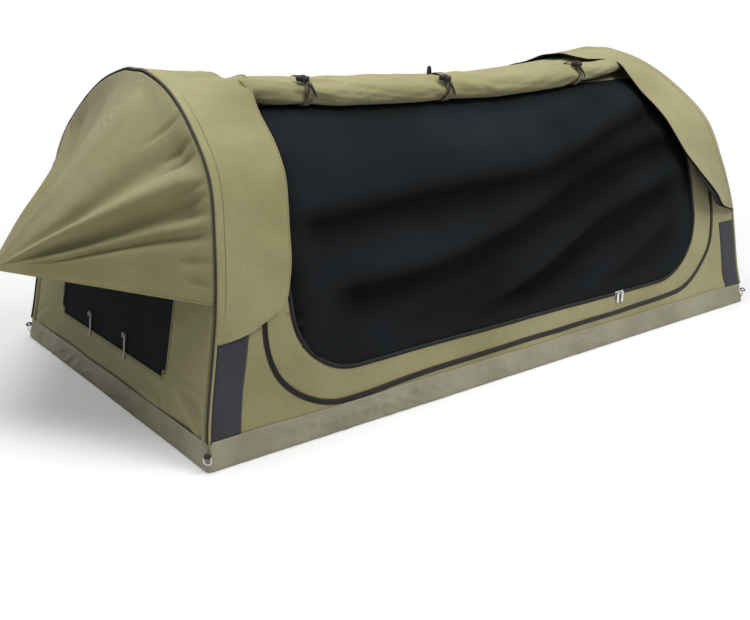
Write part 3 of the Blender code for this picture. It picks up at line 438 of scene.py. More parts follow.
# polyester webbing, ribbed across its run
blackWebbing = clothMaterial("blackWebbing", "#161514", "#100f0f", "#211f1e", 2.2, 0.30, 0.72, sheen=0.15)
greyWebbing = clothMaterial("greyWebbing", "#9b998c", "#8b897c", "#aba99c", 2.2, 0.30, 0.78, sheen=0.2)
brownWebbing = clothMaterial("brownWebbing", "#6b6244", "#5a5238", "#7c7354", 2.2, 0.30, 0.80, sheen=0.2)
# zip tape and nylon coil, dark brown
zipCloth = clothMaterial("zipCloth", "#17120d", "#110d09", "#201a13", 2.0, 0.35, 0.60, sheen=0.05, useUv=True,
                         weaveAmount=0.5)
# the same, black
blackZip = clothMaterial("blackZip", "#100f0f", "#0b0b0b", "#1a1918", 2.0, 0.35, 0.60, sheen=0.0, useUv=True,
                         weaveAmount=0.5)
# brushed cotton mattress cover
coverCloth = clothMaterial("coverCloth", "#4a4a4e", "#424246", "#57575c", 2.4, 0.25, 0.90, sheen=0.4)
# die-cast zinc, nickel plated
nickelZinc = metalMaterial("nickelZinc", "#d2d3d6", 0.30, 900.0)
# drawn aluminium tube
drawnAlloy = metalMaterial("drawnAlloy", "#b9bbbd", 0.38, 400.0)
# moulded polyamide
mouldedNylon = clothMaterial("mouldedNylon", "#1c1a17", "#161512", "#26231f", 1.2, 0.05, 0.45, sheen=0.0,
                             weaveAmount=0.05)
print("materials made")

# Canopy: one sheet from front band to back band, with the door's opening
opening = {"left": -0.813, "right": 0.790, "low": 0.153, "top": 0.7873, "corner": 0.19}
wayOut = [Vector((-1, 0)), Vector((1, 0)), Vector((0, -1)), Vector((0, 1))]  # left, right, down, up


def openingDepth(x, h, grow=0.0):  # how far inside the opening a place is, and the way out of it
    left, right = opening["left"] - grow, opening["right"] + grow
    low, top, radius = opening["low"] - grow, opening["top"] + grow, opening["corner"] + grow
    if h < low + radius and (x < left + radius or x > right - radius):
        cx = left + radius if x < left + radius else right - radius
        away = Vector((x - cx, h - low - radius))
        return radius - away.length, away.normalized()
    return min(zip((x - left, right - x, h - low, top - h), wayOut), key=lambda o: o[0])


canopy = {"columns": 190, "rows": 210, "thickness": 0.002, "hidden": 0.010, "snap": 0.0068}


# a sheet whose points near an outline move onto it, and whose faces on the wrong side are left out
def snappedSheet(name, place, us, ss, depthAt, keepInside, cell):
    points, uvs, inside = [], [], []
    for u in us:
        for s in ss:
            y, z, ny, nz = outlineAt(s)
            x, depth = u * halfLengthAt(z), -1.0
            if s < midRun:
                depth, way = depthAt(x, z)
                if abs(depth) < cell:
                    x, z = x + way.x * depth, z + way.y * depth
                    s, u, depth = runAtHeight(z), x / halfLengthAt(z), 0.0
            points.append(place(u, s))
            uvs.append((x, s))
            inside.append(depth)
    faces = []
    for face in gridFaces(len(us), len(ss)):
        depths = [inside[k] for k in face]
        if min(depths) >= 0 if keepInside else max(depths) <= 0:
            faces.append(face)
    return meshObject(name, points, faces, uvs)


us = spread(-1.0, 1.0, canopy["columns"])
ss = spread(-canopy["hidden"], hoopRun + canopy["hidden"], canopy["rows"])
canopySheet = snappedSheet("canopySheet", canopyPoint, us, ss, openingDepth, False, canopy["snap"])
thickCloth(canopySheet, canopy["thickness"])
finish(canopySheet, polycottonCanvas, "base", ["front_wall", "back_wall"], "canvas")
print("canopy made", len(canopySheet.data.polygons))

# Door of insect mesh, with long soft folds that rise to the right
doorCloth = {"columns": 150, "rows": 110, "reach": 0.86, "margin": 0.01, "snap": 0.0058, "thickness": 0.0012,
             "gap": 0.0009, "slack": 0.004, "swell": 0.007, "waver": 0.010, "above": 0.034, "below": 0.075,
             "foldEnd": 0.16, "calm": 0.008, "calmWidth": 0.07, "deepest": 0.030}
doorFolds = [  # depth of each crease, and its line of (x, height) places
    (0.030, [(-0.80, 0.510), (-0.36, 0.523), (0.0, 0.535), (0.25, 0.568), (0.49, 0.630), (0.78, 0.690)]),
    (0.034, [(-0.72, 0.331), (-0.34, 0.340), (-0.03, 0.398), (0.29, 0.487), (0.55, 0.550), (0.80, 0.598)]),
    (0.031, [(-0.30, 0.130), (-0.04, 0.213), (0.27, 0.342), (0.46, 0.392), (0.78, 0.466)]),
    (0.021, [(0.26, 0.150), (0.51, 0.243), (0.74, 0.350)]),
    (0.012, [(-0.55, 0.200), (-0.25, 0.245), (-0.02, 0.310)]),
    (0.012, [(0.10, 0.640), (0.40, 0.700), (0.62, 0.745)]),
]


def foldAt(x, h):  # slack netting: each crease has a steep upper side and a gentle lower side
    room = min(x - opening["left"], opening["right"] - x, h - opening["low"], (opening["top"] - h) * 1.4)
    total = doorCloth["slack"] + doorCloth["swell"] * wobble(x * 2.2, h * 4.0, 2.0)
    for deep, line in doorFolds:
        away = h - onProfile(line, x) + doorCloth["waver"] * wobble(x * 3.1, line[0][1] * 9.0, 4.0)
        reach = smoothStep((x - line[0][0]) / doorCloth["foldEnd"] + 0.15)
        reach *= smoothStep((line[-1][0] - x) / doorCloth["foldEnd"] + 0.15)
        total -= deep * bump(away, 0.0, doorCloth["above" if away > 0 else "below"]) * reach
    return total * smoothStep((room - doorCloth["calm"]) / doorCloth["calmWidth"])


def doorPlace(u, s):
    y, z, ny, nz = outlineAt(s)
    return canopyPoint(u, s, foldAt(u * halfLengthAt(z), z))


us = spread(-doorCloth["reach"], doorCloth["reach"], doorCloth["columns"])
ss = spread(runAtHeight(opening["low"] - doorCloth["margin"]),
            runAtHeight(opening["top"] + doorCloth["margin"]), doorCloth["rows"])
doorSheet = snappedSheet("doorSheet", doorPlace, us, ss, lambda x, h: openingDepth(x, h, -doorCloth["gap"]),
                         True, doorCloth["snap"])
thickCloth(doorSheet, doorCloth["thickness"])
# painted shade mask: how deep each point of the door lies in a crease, read by the netting's colour
crease = doorSheet.data.attributes.new("crease", "FLOAT", "POINT")
foldDepths = [doorCloth["slack"] - foldAt(v.co.x, v.co.z) for v in doorSheet.data.vertices]
crease.data.foreach_set("value", [min(max(depth / doorCloth["deepest"], 0.0), 1.0) for depth in foldDepths])
finish(doorSheet, insectMesh, "door", ["door_mesh"], "mesh")
print("door made", len(doorSheet.data.polygons))


# Zips
zipStep, cornerSteps = 0.012, 24


def roundedPath(left, right, lowLeft, lowRight, top, radius):  # down, round a corner, along, round one and up
    turns = [math.pi / 2 * k / cornerSteps for k in range(1, cornerSteps + 1)]
    path = [(left, h) for h in spread(top, lowLeft + radius, int((top - lowLeft - radius) / zipStep))]
    path += [(left + radius * (1 - math.cos(t)), lowLeft + radius * (1 - math.sin(t))) for t in turns]
    start, end = path[-1][0], right - radius
    for x in spread(start, end, int((end - start) / zipStep))[1:]:
        path.append((x, lowLeft + (lowRight - lowLeft) * (x - start) / (end - start)))
    turns = [math.pi / 2 - t for t in turns]
    path += [(right - radius * (1 - math.cos(t)), lowRight + radius * (1 - math.sin(t))) for t in turns]
    path += [(right, h) for h in spread(lowRight + radius, top, int((top - lowRight - radius) / zipStep))[1:]]
    return path


def zipStrip(name, path, profile, waver=0.0):  # profile: (across, out) places, from the outer edge inwards
    points, uvs, run = [], [], 0.0
    for i, (x, h) in enumerate(path):
        before, after = path[max(i - 1, 0)], path[min(i + 1, len(path) - 1)]
        dx, dz = after[0] - before[0], after[1] - before[1]
        length = math.hypot(dx, dz)
        if i:
            run += math.hypot(x - path[i - 1][0], h - path[i - 1][1])
        sway = waver * wobble(run * 5.0, 0.3, 0.0)
        for across, out in profile:
            shift = (across + sway) / length
            points.append(frontPoint(x - dz * shift, h + dx * shift, out))
            uvs.append((run, across))
    piece = meshObject(name, points, gridFaces(len(path), len(profile)), uvs)
    reshape(piece, faceOutwards)
    if sum(f.normal.y for f in piece.data.polygons) > 0:
        piece.data.flip_normals()
    return thickCloth(piece, tapeThickness, offset=-1.0)


tapeThickness = 0.0006
halfZip = [(0.0010, 0.0052), (0.0025, 0.0046), (0.0030, 0.0034), (0.0055, 0.0034), (0.0060, 0.0030)]
doorZipProfile = [(-across, out) for across, out in reversed(halfZip)] + halfZip
doorZipTop = 0.784
doorPath = roundedPath(opening["left"], opening["right"], opening["low"], opening["low"], doorZipTop,
                       opening["corner"])
finish(zipStrip("doorZip", doorPath, doorZipProfile), blackZip, "base", ["door_zip"], "zip_tape")
flapZipProfile = [(-0.0075, 0.0030), (-0.0070, 0.0036), (0.0010, 0.0036), (0.0016, 0.0052), (0.0030, 0.0062),
                  (0.0046, 0.0062), (0.0060, 0.0050), (0.0066, 0.0034), (0.0072, 0.0030)]
flapPath = roundedPath(left=-0.890, right=0.890, lowLeft=0.076, lowRight=0.100, top=0.745, radius=0.21)
finish(zipStrip("flapZip", flapPath, flapZipProfile, waver=0.006), zipCloth, "base", ["flap_zip"], "zip_tape")
print("zips made")


# Tub of PVC: floor and a creased band that the canvas stands in
tub = {"samples": 1040, "corner": 0.012, "top": 0.069, "crease": 0.0072, "ripple": 0.0030, "swell": 0.003,
       "uneven": 0.0035, "creasedRows": (1, 14)}


def tubPlan(z, count, corner):  # a rounded rectangle at a height: (place, normal), from the front left
    x, y = halfLengthAt(z), -outlineAt(z - swag["band"] if z < swag["band"] else runAtHeight(z))[0]
    straight = [(2 * (x - corner), Vector((-x + corner, -y)), Vector((1, 0)), Vector((0, -1))),
                (2 * (y - corner), Vector((x, -y + corner)), Vector((0, 1)), Vector((1, 0))),
                (2 * (x - corner), Vector((x - corner, y)), Vector((-1, 0)), Vector((0, 1))),
                (2 * (y - corner), Vector((-x, y - corner)), Vector((0, -1)), Vector((-1, 0)))]
    arc = math.pi / 2 * corner
    total = sum(s[0] for s in straight) + 4 * arc
    plan = []
    for i in range(count):
        d = total * i / count
        for length, start, along, out in straight:
            if d <= length:
                plan.append((start + along * d, out))
                break
            d -= length
            if d <= arc:
                turn = d / corner
                normal = out * math.cos(turn) + along * math.sin(turn)
                centre = start + along * length - out * corner
                plan.append((centre + normal * corner, normal))
                break
            d -= arc
    return plan


def tubCrease(point, v):  # upright and slanting creases where the band hangs slack
    x, y = point
    along = x if abs(y) > 0.5 else y + 5.0
    amount = 0.35 + 0.65 * smoothStep(wobble(along * 2.3, 3.0, 0.0) * 1.5 + 0.5)
    amount *= 1 + 1.1 * bump(y, 0.05, 0.26) * (x < -1.0) + 0.4 * bump(x, -0.45, 0.3) * (y < 0)
    ridge = 1 - abs(wobble(along * 15.0 + v * 2.6, v * 1.6, 5.0)) * 2.2
    ripple = wobble(along * 40.0 - v * 3.5, v * 2.0, 9.0)
    depth = max(ridge, 0.0) ** 3 * tub["crease"] + ripple * tub["ripple"]
    depth += tub["swell"] * wobble(along * 6.0, v * 1.2, 2.0)
    return depth * amount * math.sin(math.pi * min(v * 1.15, 1.0)) ** 0.7


tubRows = [  # heights with how far out the PVC stands, up the outside and down the inside
    (0.0, -0.004), (0.0012, -0.0005), (0.006, 0.0020), (0.013, 0.0032), (0.021, 0.0036), (0.029, 0.0034),
    (0.037, 0.0034), (0.045, 0.0038), (0.053, 0.0044), (0.060, 0.0050), (0.0655, 0.0056),
    (tub["top"], 0.0054), (tub["top"], 0.0042), (0.0655, 0.0036), (0.060, 0.0030), (0.050, 0.0018),
    (0.030, 0.0012), (0.010, 0.0), (0.0030, -0.004),
]
tubPoints = []
for row, (z, out) in enumerate(tubRows):
    v = z / tub["top"]
    creased = tub["creasedRows"][0] <= row <= tub["creasedRows"][1]
    for place, normal in tubPlan(z, tub["samples"], tub["corner"]):
        push = out + (tubCrease(place, v) if creased else 0.0)
        uneven = tub["uneven"] * wobble(place.x * 6.0, place.y * 6.0, 7.0) * smoothStep((v - 0.4) / 0.6)
        tubPoints.append(Vector((place.x + normal.x * push, place.y + normal.y * push, z + uneven)))
tubSheet = meshObject("tub", tubPoints, ringFaces(len(tubRows), tub["samples"]))
shadeSmooth(tubSheet)
finish(tubSheet, pvcCloth, "base", ["floor_tub"], "pvc", squashed=False)
print("tub made")

# Mattress: a foam slab in a quilted cover, puffed by a cloth simulation
mattress = {"length": 2.03, "width": 1.09, "low": 0.0034, "height": 0.044, "edge": 0.018, "voxel": 0.016,
            "pressure": 4.0, "frames": 12, "cap": 0.006, "channelGap": 0.20, "channel": 0.005,
            "channelsAbove": 0.03, "crown": 0.054}
bpy.ops.mesh.primitive_cube_add(size=1, location=(0, 0, mattress["low"] + mattress["height"] / 2))
pad = bpy.context.active_object
pad.name = "mattressPad"
pad.scale = (mattress["length"], mattress["width"], mattress["height"])
bpy.ops.object.transform_apply(location=True, rotation=False, scale=True)
bevel = pad.modifiers.new("edges", "BEVEL")
bevel.width = mattress["edge"]
bevel.segments = 3
applyAll(pad)
remesh = pad.modifiers.new("remesh", "REMESH")
remesh.mode = "VOXEL"
remesh.voxel_size = mattress["voxel"]
applyAll(pad)
startPlaces = [v.co.copy() for v in pad.data.vertices]
cloth = pad.modifiers.new("puff", "CLOTH")
cloth.settings.use_pressure = True
cloth.settings.uniform_pressure_force = mattress["pressure"]
cloth.settings.effector_weights.gravity = 0.0
cloth.settings.quality = 5
for number in range(1, mattress["frames"] + 1):
    scene.frame_set(number)
applyAll(pad)
for vertex, start in zip(pad.data.vertices, startPlaces):
    step = vertex.co - start
    if step.length > mattress["cap"]:
        vertex.co = start + step.normalized() * mattress["cap"]
    vertex.co.z = max(vertex.co.z, mattress["low"])
scene.frame_set(1)
for vertex in pad.data.vertices:  # quilted channels across the bed
    if vertex.co.z > mattress["channelsAbove"]:
        across = abs(math.sin(math.pi * vertex.co.x / mattress["channelGap"]))
        vertex.co.z -= mattress["channel"] * (1 - across) ** 3
    vertex.co.z = min(max(vertex.co.z, mattress["low"]), mattress["crown"])
pad.data.polygons.foreach_set("use_smooth", [True] * len(pad.data.polygons))
finish(pad, coverCloth, "base", ["foam_mattress", "mattress_cover"], "cover", squashed=False)
print("mattress made")

# Hoods: bands over the hoops with a free inner edge
# a hood's facing is the width of a black strip of painted shade below its lower corner
hoods = {  # lifts of the free edge by place, and the band's (height, width) from its lower end up
    "left": {"low": 0.290, "lift": 0.013, "ridgeLift": 0.010, "backLift": 0.006, "rollLift": 0.052,
             "footLift": 0.004, "facing": 0.0, "standOff": 0.8, "width": 0.190,
             "profile": [(0.290, 0.004), (0.296, 0.050), (0.306, 0.086), (0.320, 0.114), (0.336, 0.142),
                         (0.352, 0.160), (0.372, 0.173), (0.46, 0.182), (0.70, 0.180), (0.77, 0.170),
                         (0.82, 0.184), (0.86, 0.196)]},
    "right": {"low": 0.337, "lift": 0.016, "ridgeLift": 0.018, "backLift": 0.000, "rollLift": 0.036,
              "footLift": 0.036, "facing": 0.046, "standOff": 0.35, "width": 0.240,
              "profile": [(0.337, 0.004), (0.345, 0.034), (0.360, 0.076), (0.386, 0.114), (0.418, 0.147),
                          (0.49, 0.198), (0.59, 0.229), (0.68, 0.240), (0.76, 0.242), (0.86, 0.238)]},
}
hoodCloth = {"seat": 0.0046, "thickness": 0.0018, "wave": 0.0034, "edgeWave": 0.0030, "rollHeight": 0.804,
             "rollWidth": 0.085, "backFade": 0.16, "ridgeAway": 0.11, "ridgeWidth": 0.06, "footAway": 0.08,
             "footWidth": 0.13, "footFade": 0.07, "footRows": 26, "rows": 190, "footRun": 0.08, "hem": 0.0026,
             "hemRise": 0.0009}
tuckSizes = {"inset": 0.019, "low": 0.31, "radius": 0.0014, "clear": 0.20, "points": 200, "fade": 14}
shadeStripSizes = {"top": 0.56, "fadeLow": 0.05, "fadeTop": 0.17, "start": 0.004, "under": 0.0012,
               "thickness": 0.0010}
seam = {"end": 0.006, "points": 220, "pipe": 0.0027, "pipeInset": -0.0015, "pipeOut": 0.0048, "welt": 0.0036,
        "weltInset": -0.0030, "weltOut": 0.0002}
rollRun = runAtHeight(hoodCloth["rollHeight"])


for sideName, side in sides.items():
    facts = hoods[sideName]
    start = runAtHeight(facts["low"])

    def hoodPlace(a, s, facts=facts, side=side, start=start):
        y, z, ny, nz = outlineAt(s)
        wide = onProfile(facts["profile"], z)
        u = side * (1 - wide * a / halfLengthAt(z))
        wave = hoodCloth["wave"] * wobble(s * 5.0, a * 2.0, side * 4.0)
        wave += hoodCloth["edgeWave"] * a * a * wobble(s * 7.0, 2.0, side * 9.0)
        behind = smoothStep((s - midRun) / hoodCloth["backFade"])
        high = bump(s, midRun - hoodCloth["ridgeAway"], hoodCloth["ridgeWidth"])
        low = bump(s, start + hoodCloth["footAway"], hoodCloth["footWidth"])
        low *= smoothStep((s - start) / hoodCloth["footFade"])
        lift = facts["lift"] + (facts["backLift"] - facts["lift"]) * behind
        lift += (facts["ridgeLift"] - facts["lift"]) * high + facts["footLift"] * low
        lift *= a**1.2 * (wide / facts["width"]) ** facts["standOff"]
        lift += facts["rollLift"] * bump(s, rollRun, hoodCloth["rollWidth"]) * a**1.6
        wave *= math.sin(math.pi * min(a + 0.02, 1.0) / 2)
        return canopyPoint(u, s, hoodCloth["seat"] + lift + wave)

    middle = start + hoodCloth["footRun"]
    footRows = spread(start, middle, hoodCloth["footRows"])[:-1]
    rows = footRows + spread(middle, hoopRun - middle, hoodCloth["rows"])
    rows += [hoopRun - s for s in reversed(footRows)]
    columns = [0.0, 0.01, 0.04, 0.08] + spread(0.13, 0.92, 20) + [0.95, 0.975, 0.99, 1.0]
    if side > 0:
        columns.reverse()
    hood = sheetObject("hood_" + sideName, hoodPlace, columns, rows)
    thickCloth(hood, hoodCloth["thickness"], inner=1)
    finish(hood, [polycottonCanvas, coatedBack], "base", ["hood_" + sideName], "canvas")
    # the tuck stitched into the hood beside the hoop
    tuckShare, tuckStart = tuckSizes["inset"] / facts["width"], runAtHeight(tuckSizes["low"])
    tuckRuns = spread(tuckStart, hoopRun - tuckStart, tuckSizes["points"])
    tuck = [hoodPlace(tuckShare, s) + normalAt(s) * tuckSizes["radius"]
            for s in tuckRuns if abs(s - midRun) > tuckSizes["clear"]]
    for part, line in enumerate((tuck[: len(tuck) // 2], tuck[len(tuck) // 2 :])):
        fades = [smoothStep(min(i, len(line) - 1 - i) / tuckSizes["fade"]) for i in range(len(line))]
        radii = [0.4 + 0.6 * fade for fade in fades]
        stitch = tubeAlong(f"tuck_{sideName}_{part}", line, tuckSizes["radius"], 6, radii=radii)
        finish(stitch, brownWebbing, "base")
    # folded hem along the free edge
    edge = [hoodPlace(1.0, s) + normalAt(s) * hoodCloth["hemRise"] for s in rows]
    hem = tubeAlong("hoodHem_" + sideName, edge, hoodCloth["hem"], 8, flatten=0.9)
    finish(hem, coatedBack if side > 0 else polycottonCanvas, "base")
    if facts["facing"]:  # painted shade: a black strip hangs out below the canvas at the lower corner, for the shadow under the hood's edge
        top = runAtHeight(shadeStripSizes["top"])

        def shadeStripPlace(b, s, facts=facts, start=start, top=top, hoodPlace=hoodPlace):
            edge = hoodPlace(1.0, s)
            wide = facts["facing"] * smoothStep((s - start) / shadeStripSizes["fadeLow"])
            wide *= smoothStep((top - s) / shadeStripSizes["fadeTop"])
            way = (edge - hoodPlace(0.94, s)).normalized()
            return edge + way * wide * b - normalAt(s) * shadeStripSizes["under"]

        facing = sheetObject("hoodShadeStrip_" + sideName, shadeStripPlace, spread(0.0, 1.0, 5),
                             spread(start + shadeStripSizes["start"], top, 50))
        finish(thickCloth(facing, shadeStripSizes["thickness"]), coatedBack, "base")
    # piping over the hoop and the stitched seam beside it
    seamRuns = spread(seam["end"], hoopRun - seam["end"], seam["points"])
    pipe = [hoopPoint(side, s, seam["pipeInset"], seam["pipeOut"]) for s in seamRuns]
    piping = tubeAlong("pipe_" + sideName, pipe, seam["pipe"], 10)
    finish(piping, blackWebbing, "base", ["piping_" + sideName], "black_webbing")
    welt = [hoopPoint(side, s, seam["weltInset"], seam["weltOut"]) for s in seamRuns]
    finish(tubeAlong("welt_" + sideName, welt, seam["welt"], 10), polycottonCanvas, "base")
print("hoods made")

# Ends: wall, window and its hooked straps
endWall = {"columns": 116, "rows": 96, "inset": 0.0247, "foot": 0.0612, "evenTop": 0.80, "snap": 0.0062,
           "slack": 0.005, "lowFold": 0.006, "lowFoldHeight": 0.085, "lowFoldWidth": 0.018, "back": 0.001,
           "thickness": 0.0016}
footCrease = {"from": 0.30, "start": 0.36, "run": 0.20, "high": 0.16, "fall": 0.10, "ridge": 0.010,
              "ridgeWidth": 0.017, "valley": 0.007, "valleyRise": 0.035, "valleyWidth": 0.015}
window = {"reach": 0.345, "low": 0.145, "high": 0.570, "notch": 0.018, "margin": 0.005, "slack": 0.004,
          "behind": 0.0022, "thickness": 0.0008, "hem": 0.0021, "hemOut": 0.0008, "hemGrow": 0.001,
          "hemStep": 0.02}
sillStrap = {"width": 0.010, "thickness": 0.0016, "places": (-0.30, 0.37),  # shares of the half width
             "run": [(0.126, 0.0026), (0.138, 0.0025), (0.150, 0.0026), (0.162, 0.0034), (0.174, 0.0046),
                     (0.186, 0.0052), (0.194, 0.0062), (0.199, 0.0085), (0.1985, 0.0112), (0.193, 0.0122),
                     (0.187, 0.0118)]}  # (height, lift) places


def outwards(side):  # the direction a hoop's leaning plane faces
    return Vector((side * math.cos(leanAngle), 0, math.sin(leanAngle)))


def windowDepth(y, z):  # how far inside the window a place is, and the way out of it
    reach, low, high, notch = (window[size] for size in ("reach", "low", "high", "notch"))
    depth, way = min(zip((y + reach, reach - y, z - low, high - z), wayOut), key=lambda o: o[0])
    if abs(y) > reach - notch and z < low + notch:
        depth, way = -min(abs(y) - reach + notch, low + notch - z), Vector((0, 1))
    return depth, way


def endPuff(y, z, side):  # the wall's slack and the creases from the window's corners to the feet
    puff = endWall["slack"] * wobble(y * 3.0, z * 4.0, side * 6.0)
    if abs(y) > footCrease["from"]:
        t = (abs(y) - footCrease["start"]) / footCrease["run"]
        line = footCrease["high"] - footCrease["fall"] * t
        crease = footCrease["ridge"] * bump(z, line, footCrease["ridgeWidth"]) * smoothStep(t + 0.2)
        valley = bump(z, line + footCrease["valleyRise"], footCrease["valleyWidth"])
        crease -= footCrease["valley"] * valley * smoothStep(t + 0.1)
        puff += crease * smoothStep((1.05 - t) * 3)
    lowFold = endWall["lowFold"] * bump(z, endWall["lowFoldHeight"], endWall["lowFoldWidth"])
    return puff + lowFold * (0.4 + wobble(y * 5.0, 1.0, side * 3.0))


edgeLine = []  # the hoop's inner outline as (height, half width)
for s in spread(0.001, midRun - 0.004, 90):
    y, z, ny, nz = outlineAt(s)
    edgeLine.append((z - nz * endWall["inset"], -(y - ny * endWall["inset"])))
edgeLine.sort()


def halfWidthAt(z):
    i = min(max(bisect.bisect_right(edgeLine, (z, math.inf)), 1), len(edgeLine) - 1)
    (z0, y0), (z1, y1) = edgeLine[i - 1], edgeLine[i]
    return y0 + (y1 - y0) * min(max((z - z0) / (z1 - z0), 0.0), 1.0)


for sideName, side in sides.items():
    body = "hoop_" + sideName

    def wallPoint(y, z, lift, side=side):
        return Vector((side * halfLengthAt(z), y, z)) + outwards(side) * lift

    # wall with its window cut out: rows follow the hoop's inner outline
    heights = spread(endWall["foot"], endWall["evenTop"], endWall["rows"])
    heights += [0.806, 0.812, 0.818, 0.823, 0.828, 0.832, edgeLine[-1][0]]
    heights = [z for z in heights if z <= edgeLine[-1][0]]
    shares = spread(-1.0, 1.0, endWall["columns"])
    points, uvs, depths = [], [], []
    for a in shares:
        for z in heights:
            y = a * halfWidthAt(z)
            depth, way = windowDepth(y, z)
            if abs(depth) < endWall["snap"]:
                y, z = y + way.x * depth, z + way.y * depth
                depth = 0.0
            calm = smoothStep((1 - abs(a)) / 0.06) * smoothStep(abs(depth) / 0.03)
            points.append(wallPoint(y, z, endPuff(y, z, side) * calm - endWall["back"]))
            uvs.append((y, z))
            depths.append(depth)
    faces = [f for f in gridFaces(len(shares), len(heights))
             if max(depths[k] for k in f) <= 0 and min(depths[k] for k in f) < 0]
    wall = meshObject("endWall_" + sideName, points, faces, uvs)
    if side > 0:
        wall.data.flip_normals()
    thickCloth(wall, endWall["thickness"], offset=0.0)
    finish(wall, polycottonCanvas, body, ["end_wall_" + sideName], "canvas")

    # window netting, a little slack
    def nettingPlace(y, z, side=side, wallPoint=wallPoint):
        room = min(window["reach"] - abs(y), z - window["low"], window["high"] - z)
        slack = window["slack"] * smoothStep(room / 0.08) * (wobble(y * 5.0, z * 5.0, side * 2.0) - 0.6)
        return wallPoint(y, z, slack - window["behind"])

    reach = window["reach"] + window["margin"]
    nettingRows = spread(window["low"] - window["margin"], window["high"] + window["margin"], 40)
    netting = sheetObject("netting_" + sideName, nettingPlace, spread(-reach, reach, 60), nettingRows)
    thickCloth(netting, window["thickness"], offset=0.0)
    finish(netting, insectMesh, body, ["window_mesh_" + sideName], "mesh")

    # hem round the window
    rim, step = window["reach"] + window["hemGrow"], window["notch"]
    low, high = window["low"], window["high"]
    half = [(rim, high), (rim, low + step), (rim - step, low + step), (rim - step, low)]
    corners = [(-y, z) for y, z in reversed(half)] + half
    hemLine = []
    for (y0, z0), (y1, z1) in zip(corners, corners[1:] + corners[:1]):
        steps = max(int(math.hypot(y1 - y0, z1 - z0) / window["hemStep"]), 2)
        hemLine += [wallPoint(y0 + (y1 - y0) * k / steps, z0 + (z1 - z0) * k / steps, window["hemOut"])
                    for k in range(steps)]
    windowHem = tubeAlong("windowHem_" + sideName, hemLine, window["hem"], 8, closed=True)
    finish(windowHem, polycottonCanvas, body)

    # the two hooked straps at the sill
    for endName, share in zip(ends, sillStrap["places"]):
        line = [wallPoint(share * window["reach"], z, lift) for z, lift in sillStrap["run"]]
        smooth = [p.lerp(q, k / 3) for p, q in zip(line, line[1:]) for k in range(3)] + [line[-1]]
        strap = webStrap(f"sillStrap_{sideName}_{endName}", smooth, Vector((0, side, 0)), sillStrap["width"],
                         sillStrap["thickness"])
        finish(strap, greyWebbing, body, [f"window_tie_{sideName}_{endName}"], "grey_webbing")
print("ends made")

# Awnings: cones of canvas from the hoop to a tip, with folds that fan out from it
awning = {"low": 0.378, "reach": 0.252, "tip": 0.402, "tipWidth": 0.024, "inset": 0.0058, "flange": 0.008,
          "flangeFoot": 0.0008, "bulge": 0.003, "hollow": 0.042, "hollowFrom": 0.46, "hollowRun": 0.18,
          "dip": 0.003, "ripple": 0.0030, "sway": 0.012, "foldStart": 0.030, "foldFade": 0.11,
          "thickness": 0.0016, "hem": 0.0028, "columns": 260, "rows": 110, "keep": 0.2, "keepInset": 0.02}
tipTab = {"width": 0.022, "thickness": 0.0018, "seam": (-0.016, -0.010, -0.004),
          "hang": (0.004, 0.011, 0.018, 0.026), "eyelet": 0.0042, "eyeletUp": 0.009, "punch": 0.03}
lowRun = runAtHeight(awning["low"])
awningFolds = {  # (height at the seam, width, depth outwards, from, to along the run to the tip)
    "front": [(0.848, 0.030, 0.0060, 0.06, 0.99), (0.778, 0.006, -0.0080, 0.00, 0.22),
              (0.722, 0.034, -0.0190, 0.02, 0.94), (0.728, 0.006, -0.0080, 0.00, 0.20),
              (0.700, 0.006, -0.0085, 0.00, 0.22), (0.664, 0.024, 0.0190, 0.03, 0.99),
              (0.640, 0.006, -0.0090, 0.00, 0.22), (0.598, 0.027, -0.0260, 0.03, 0.97),
              (0.612, 0.005, -0.0070, 0.00, 0.20), (0.580, 0.006, -0.0080, 0.00, 0.24),
              (0.550, 0.013, 0.0110, 0.02, 0.92), (0.520, 0.010, -0.0130, 0.00, 0.80),
              (0.470, 0.006, -0.0050, 0.00, 0.18), (0.425, 0.005, -0.0050, 0.00, 0.14)],
    "back": [(0.775, 0.007, -0.0080, 0.00, 0.20), (0.735, 0.028, -0.0130, 0.02, 0.90),
             (0.700, 0.006, -0.0080, 0.00, 0.20), (0.680, 0.020, 0.0150, 0.03, 0.96),
             (0.640, 0.024, -0.0190, 0.03, 0.95), (0.605, 0.006, -0.0080, 0.00, 0.20),
             (0.585, 0.014, 0.0100, 0.02, 0.90), (0.550, 0.010, -0.0110, 0.00, 0.72),
             (0.500, 0.006, -0.0050, 0.00, 0.16)],
}
foldPlaces = []
for half, folds in awningFolds.items():
    for height, *rest in folds:
        share = (runAtHeight(height) - lowRun) / (hoopRun - 2 * lowRun)
        foldPlaces.append((share if half == "front" else 1 - share, *rest))


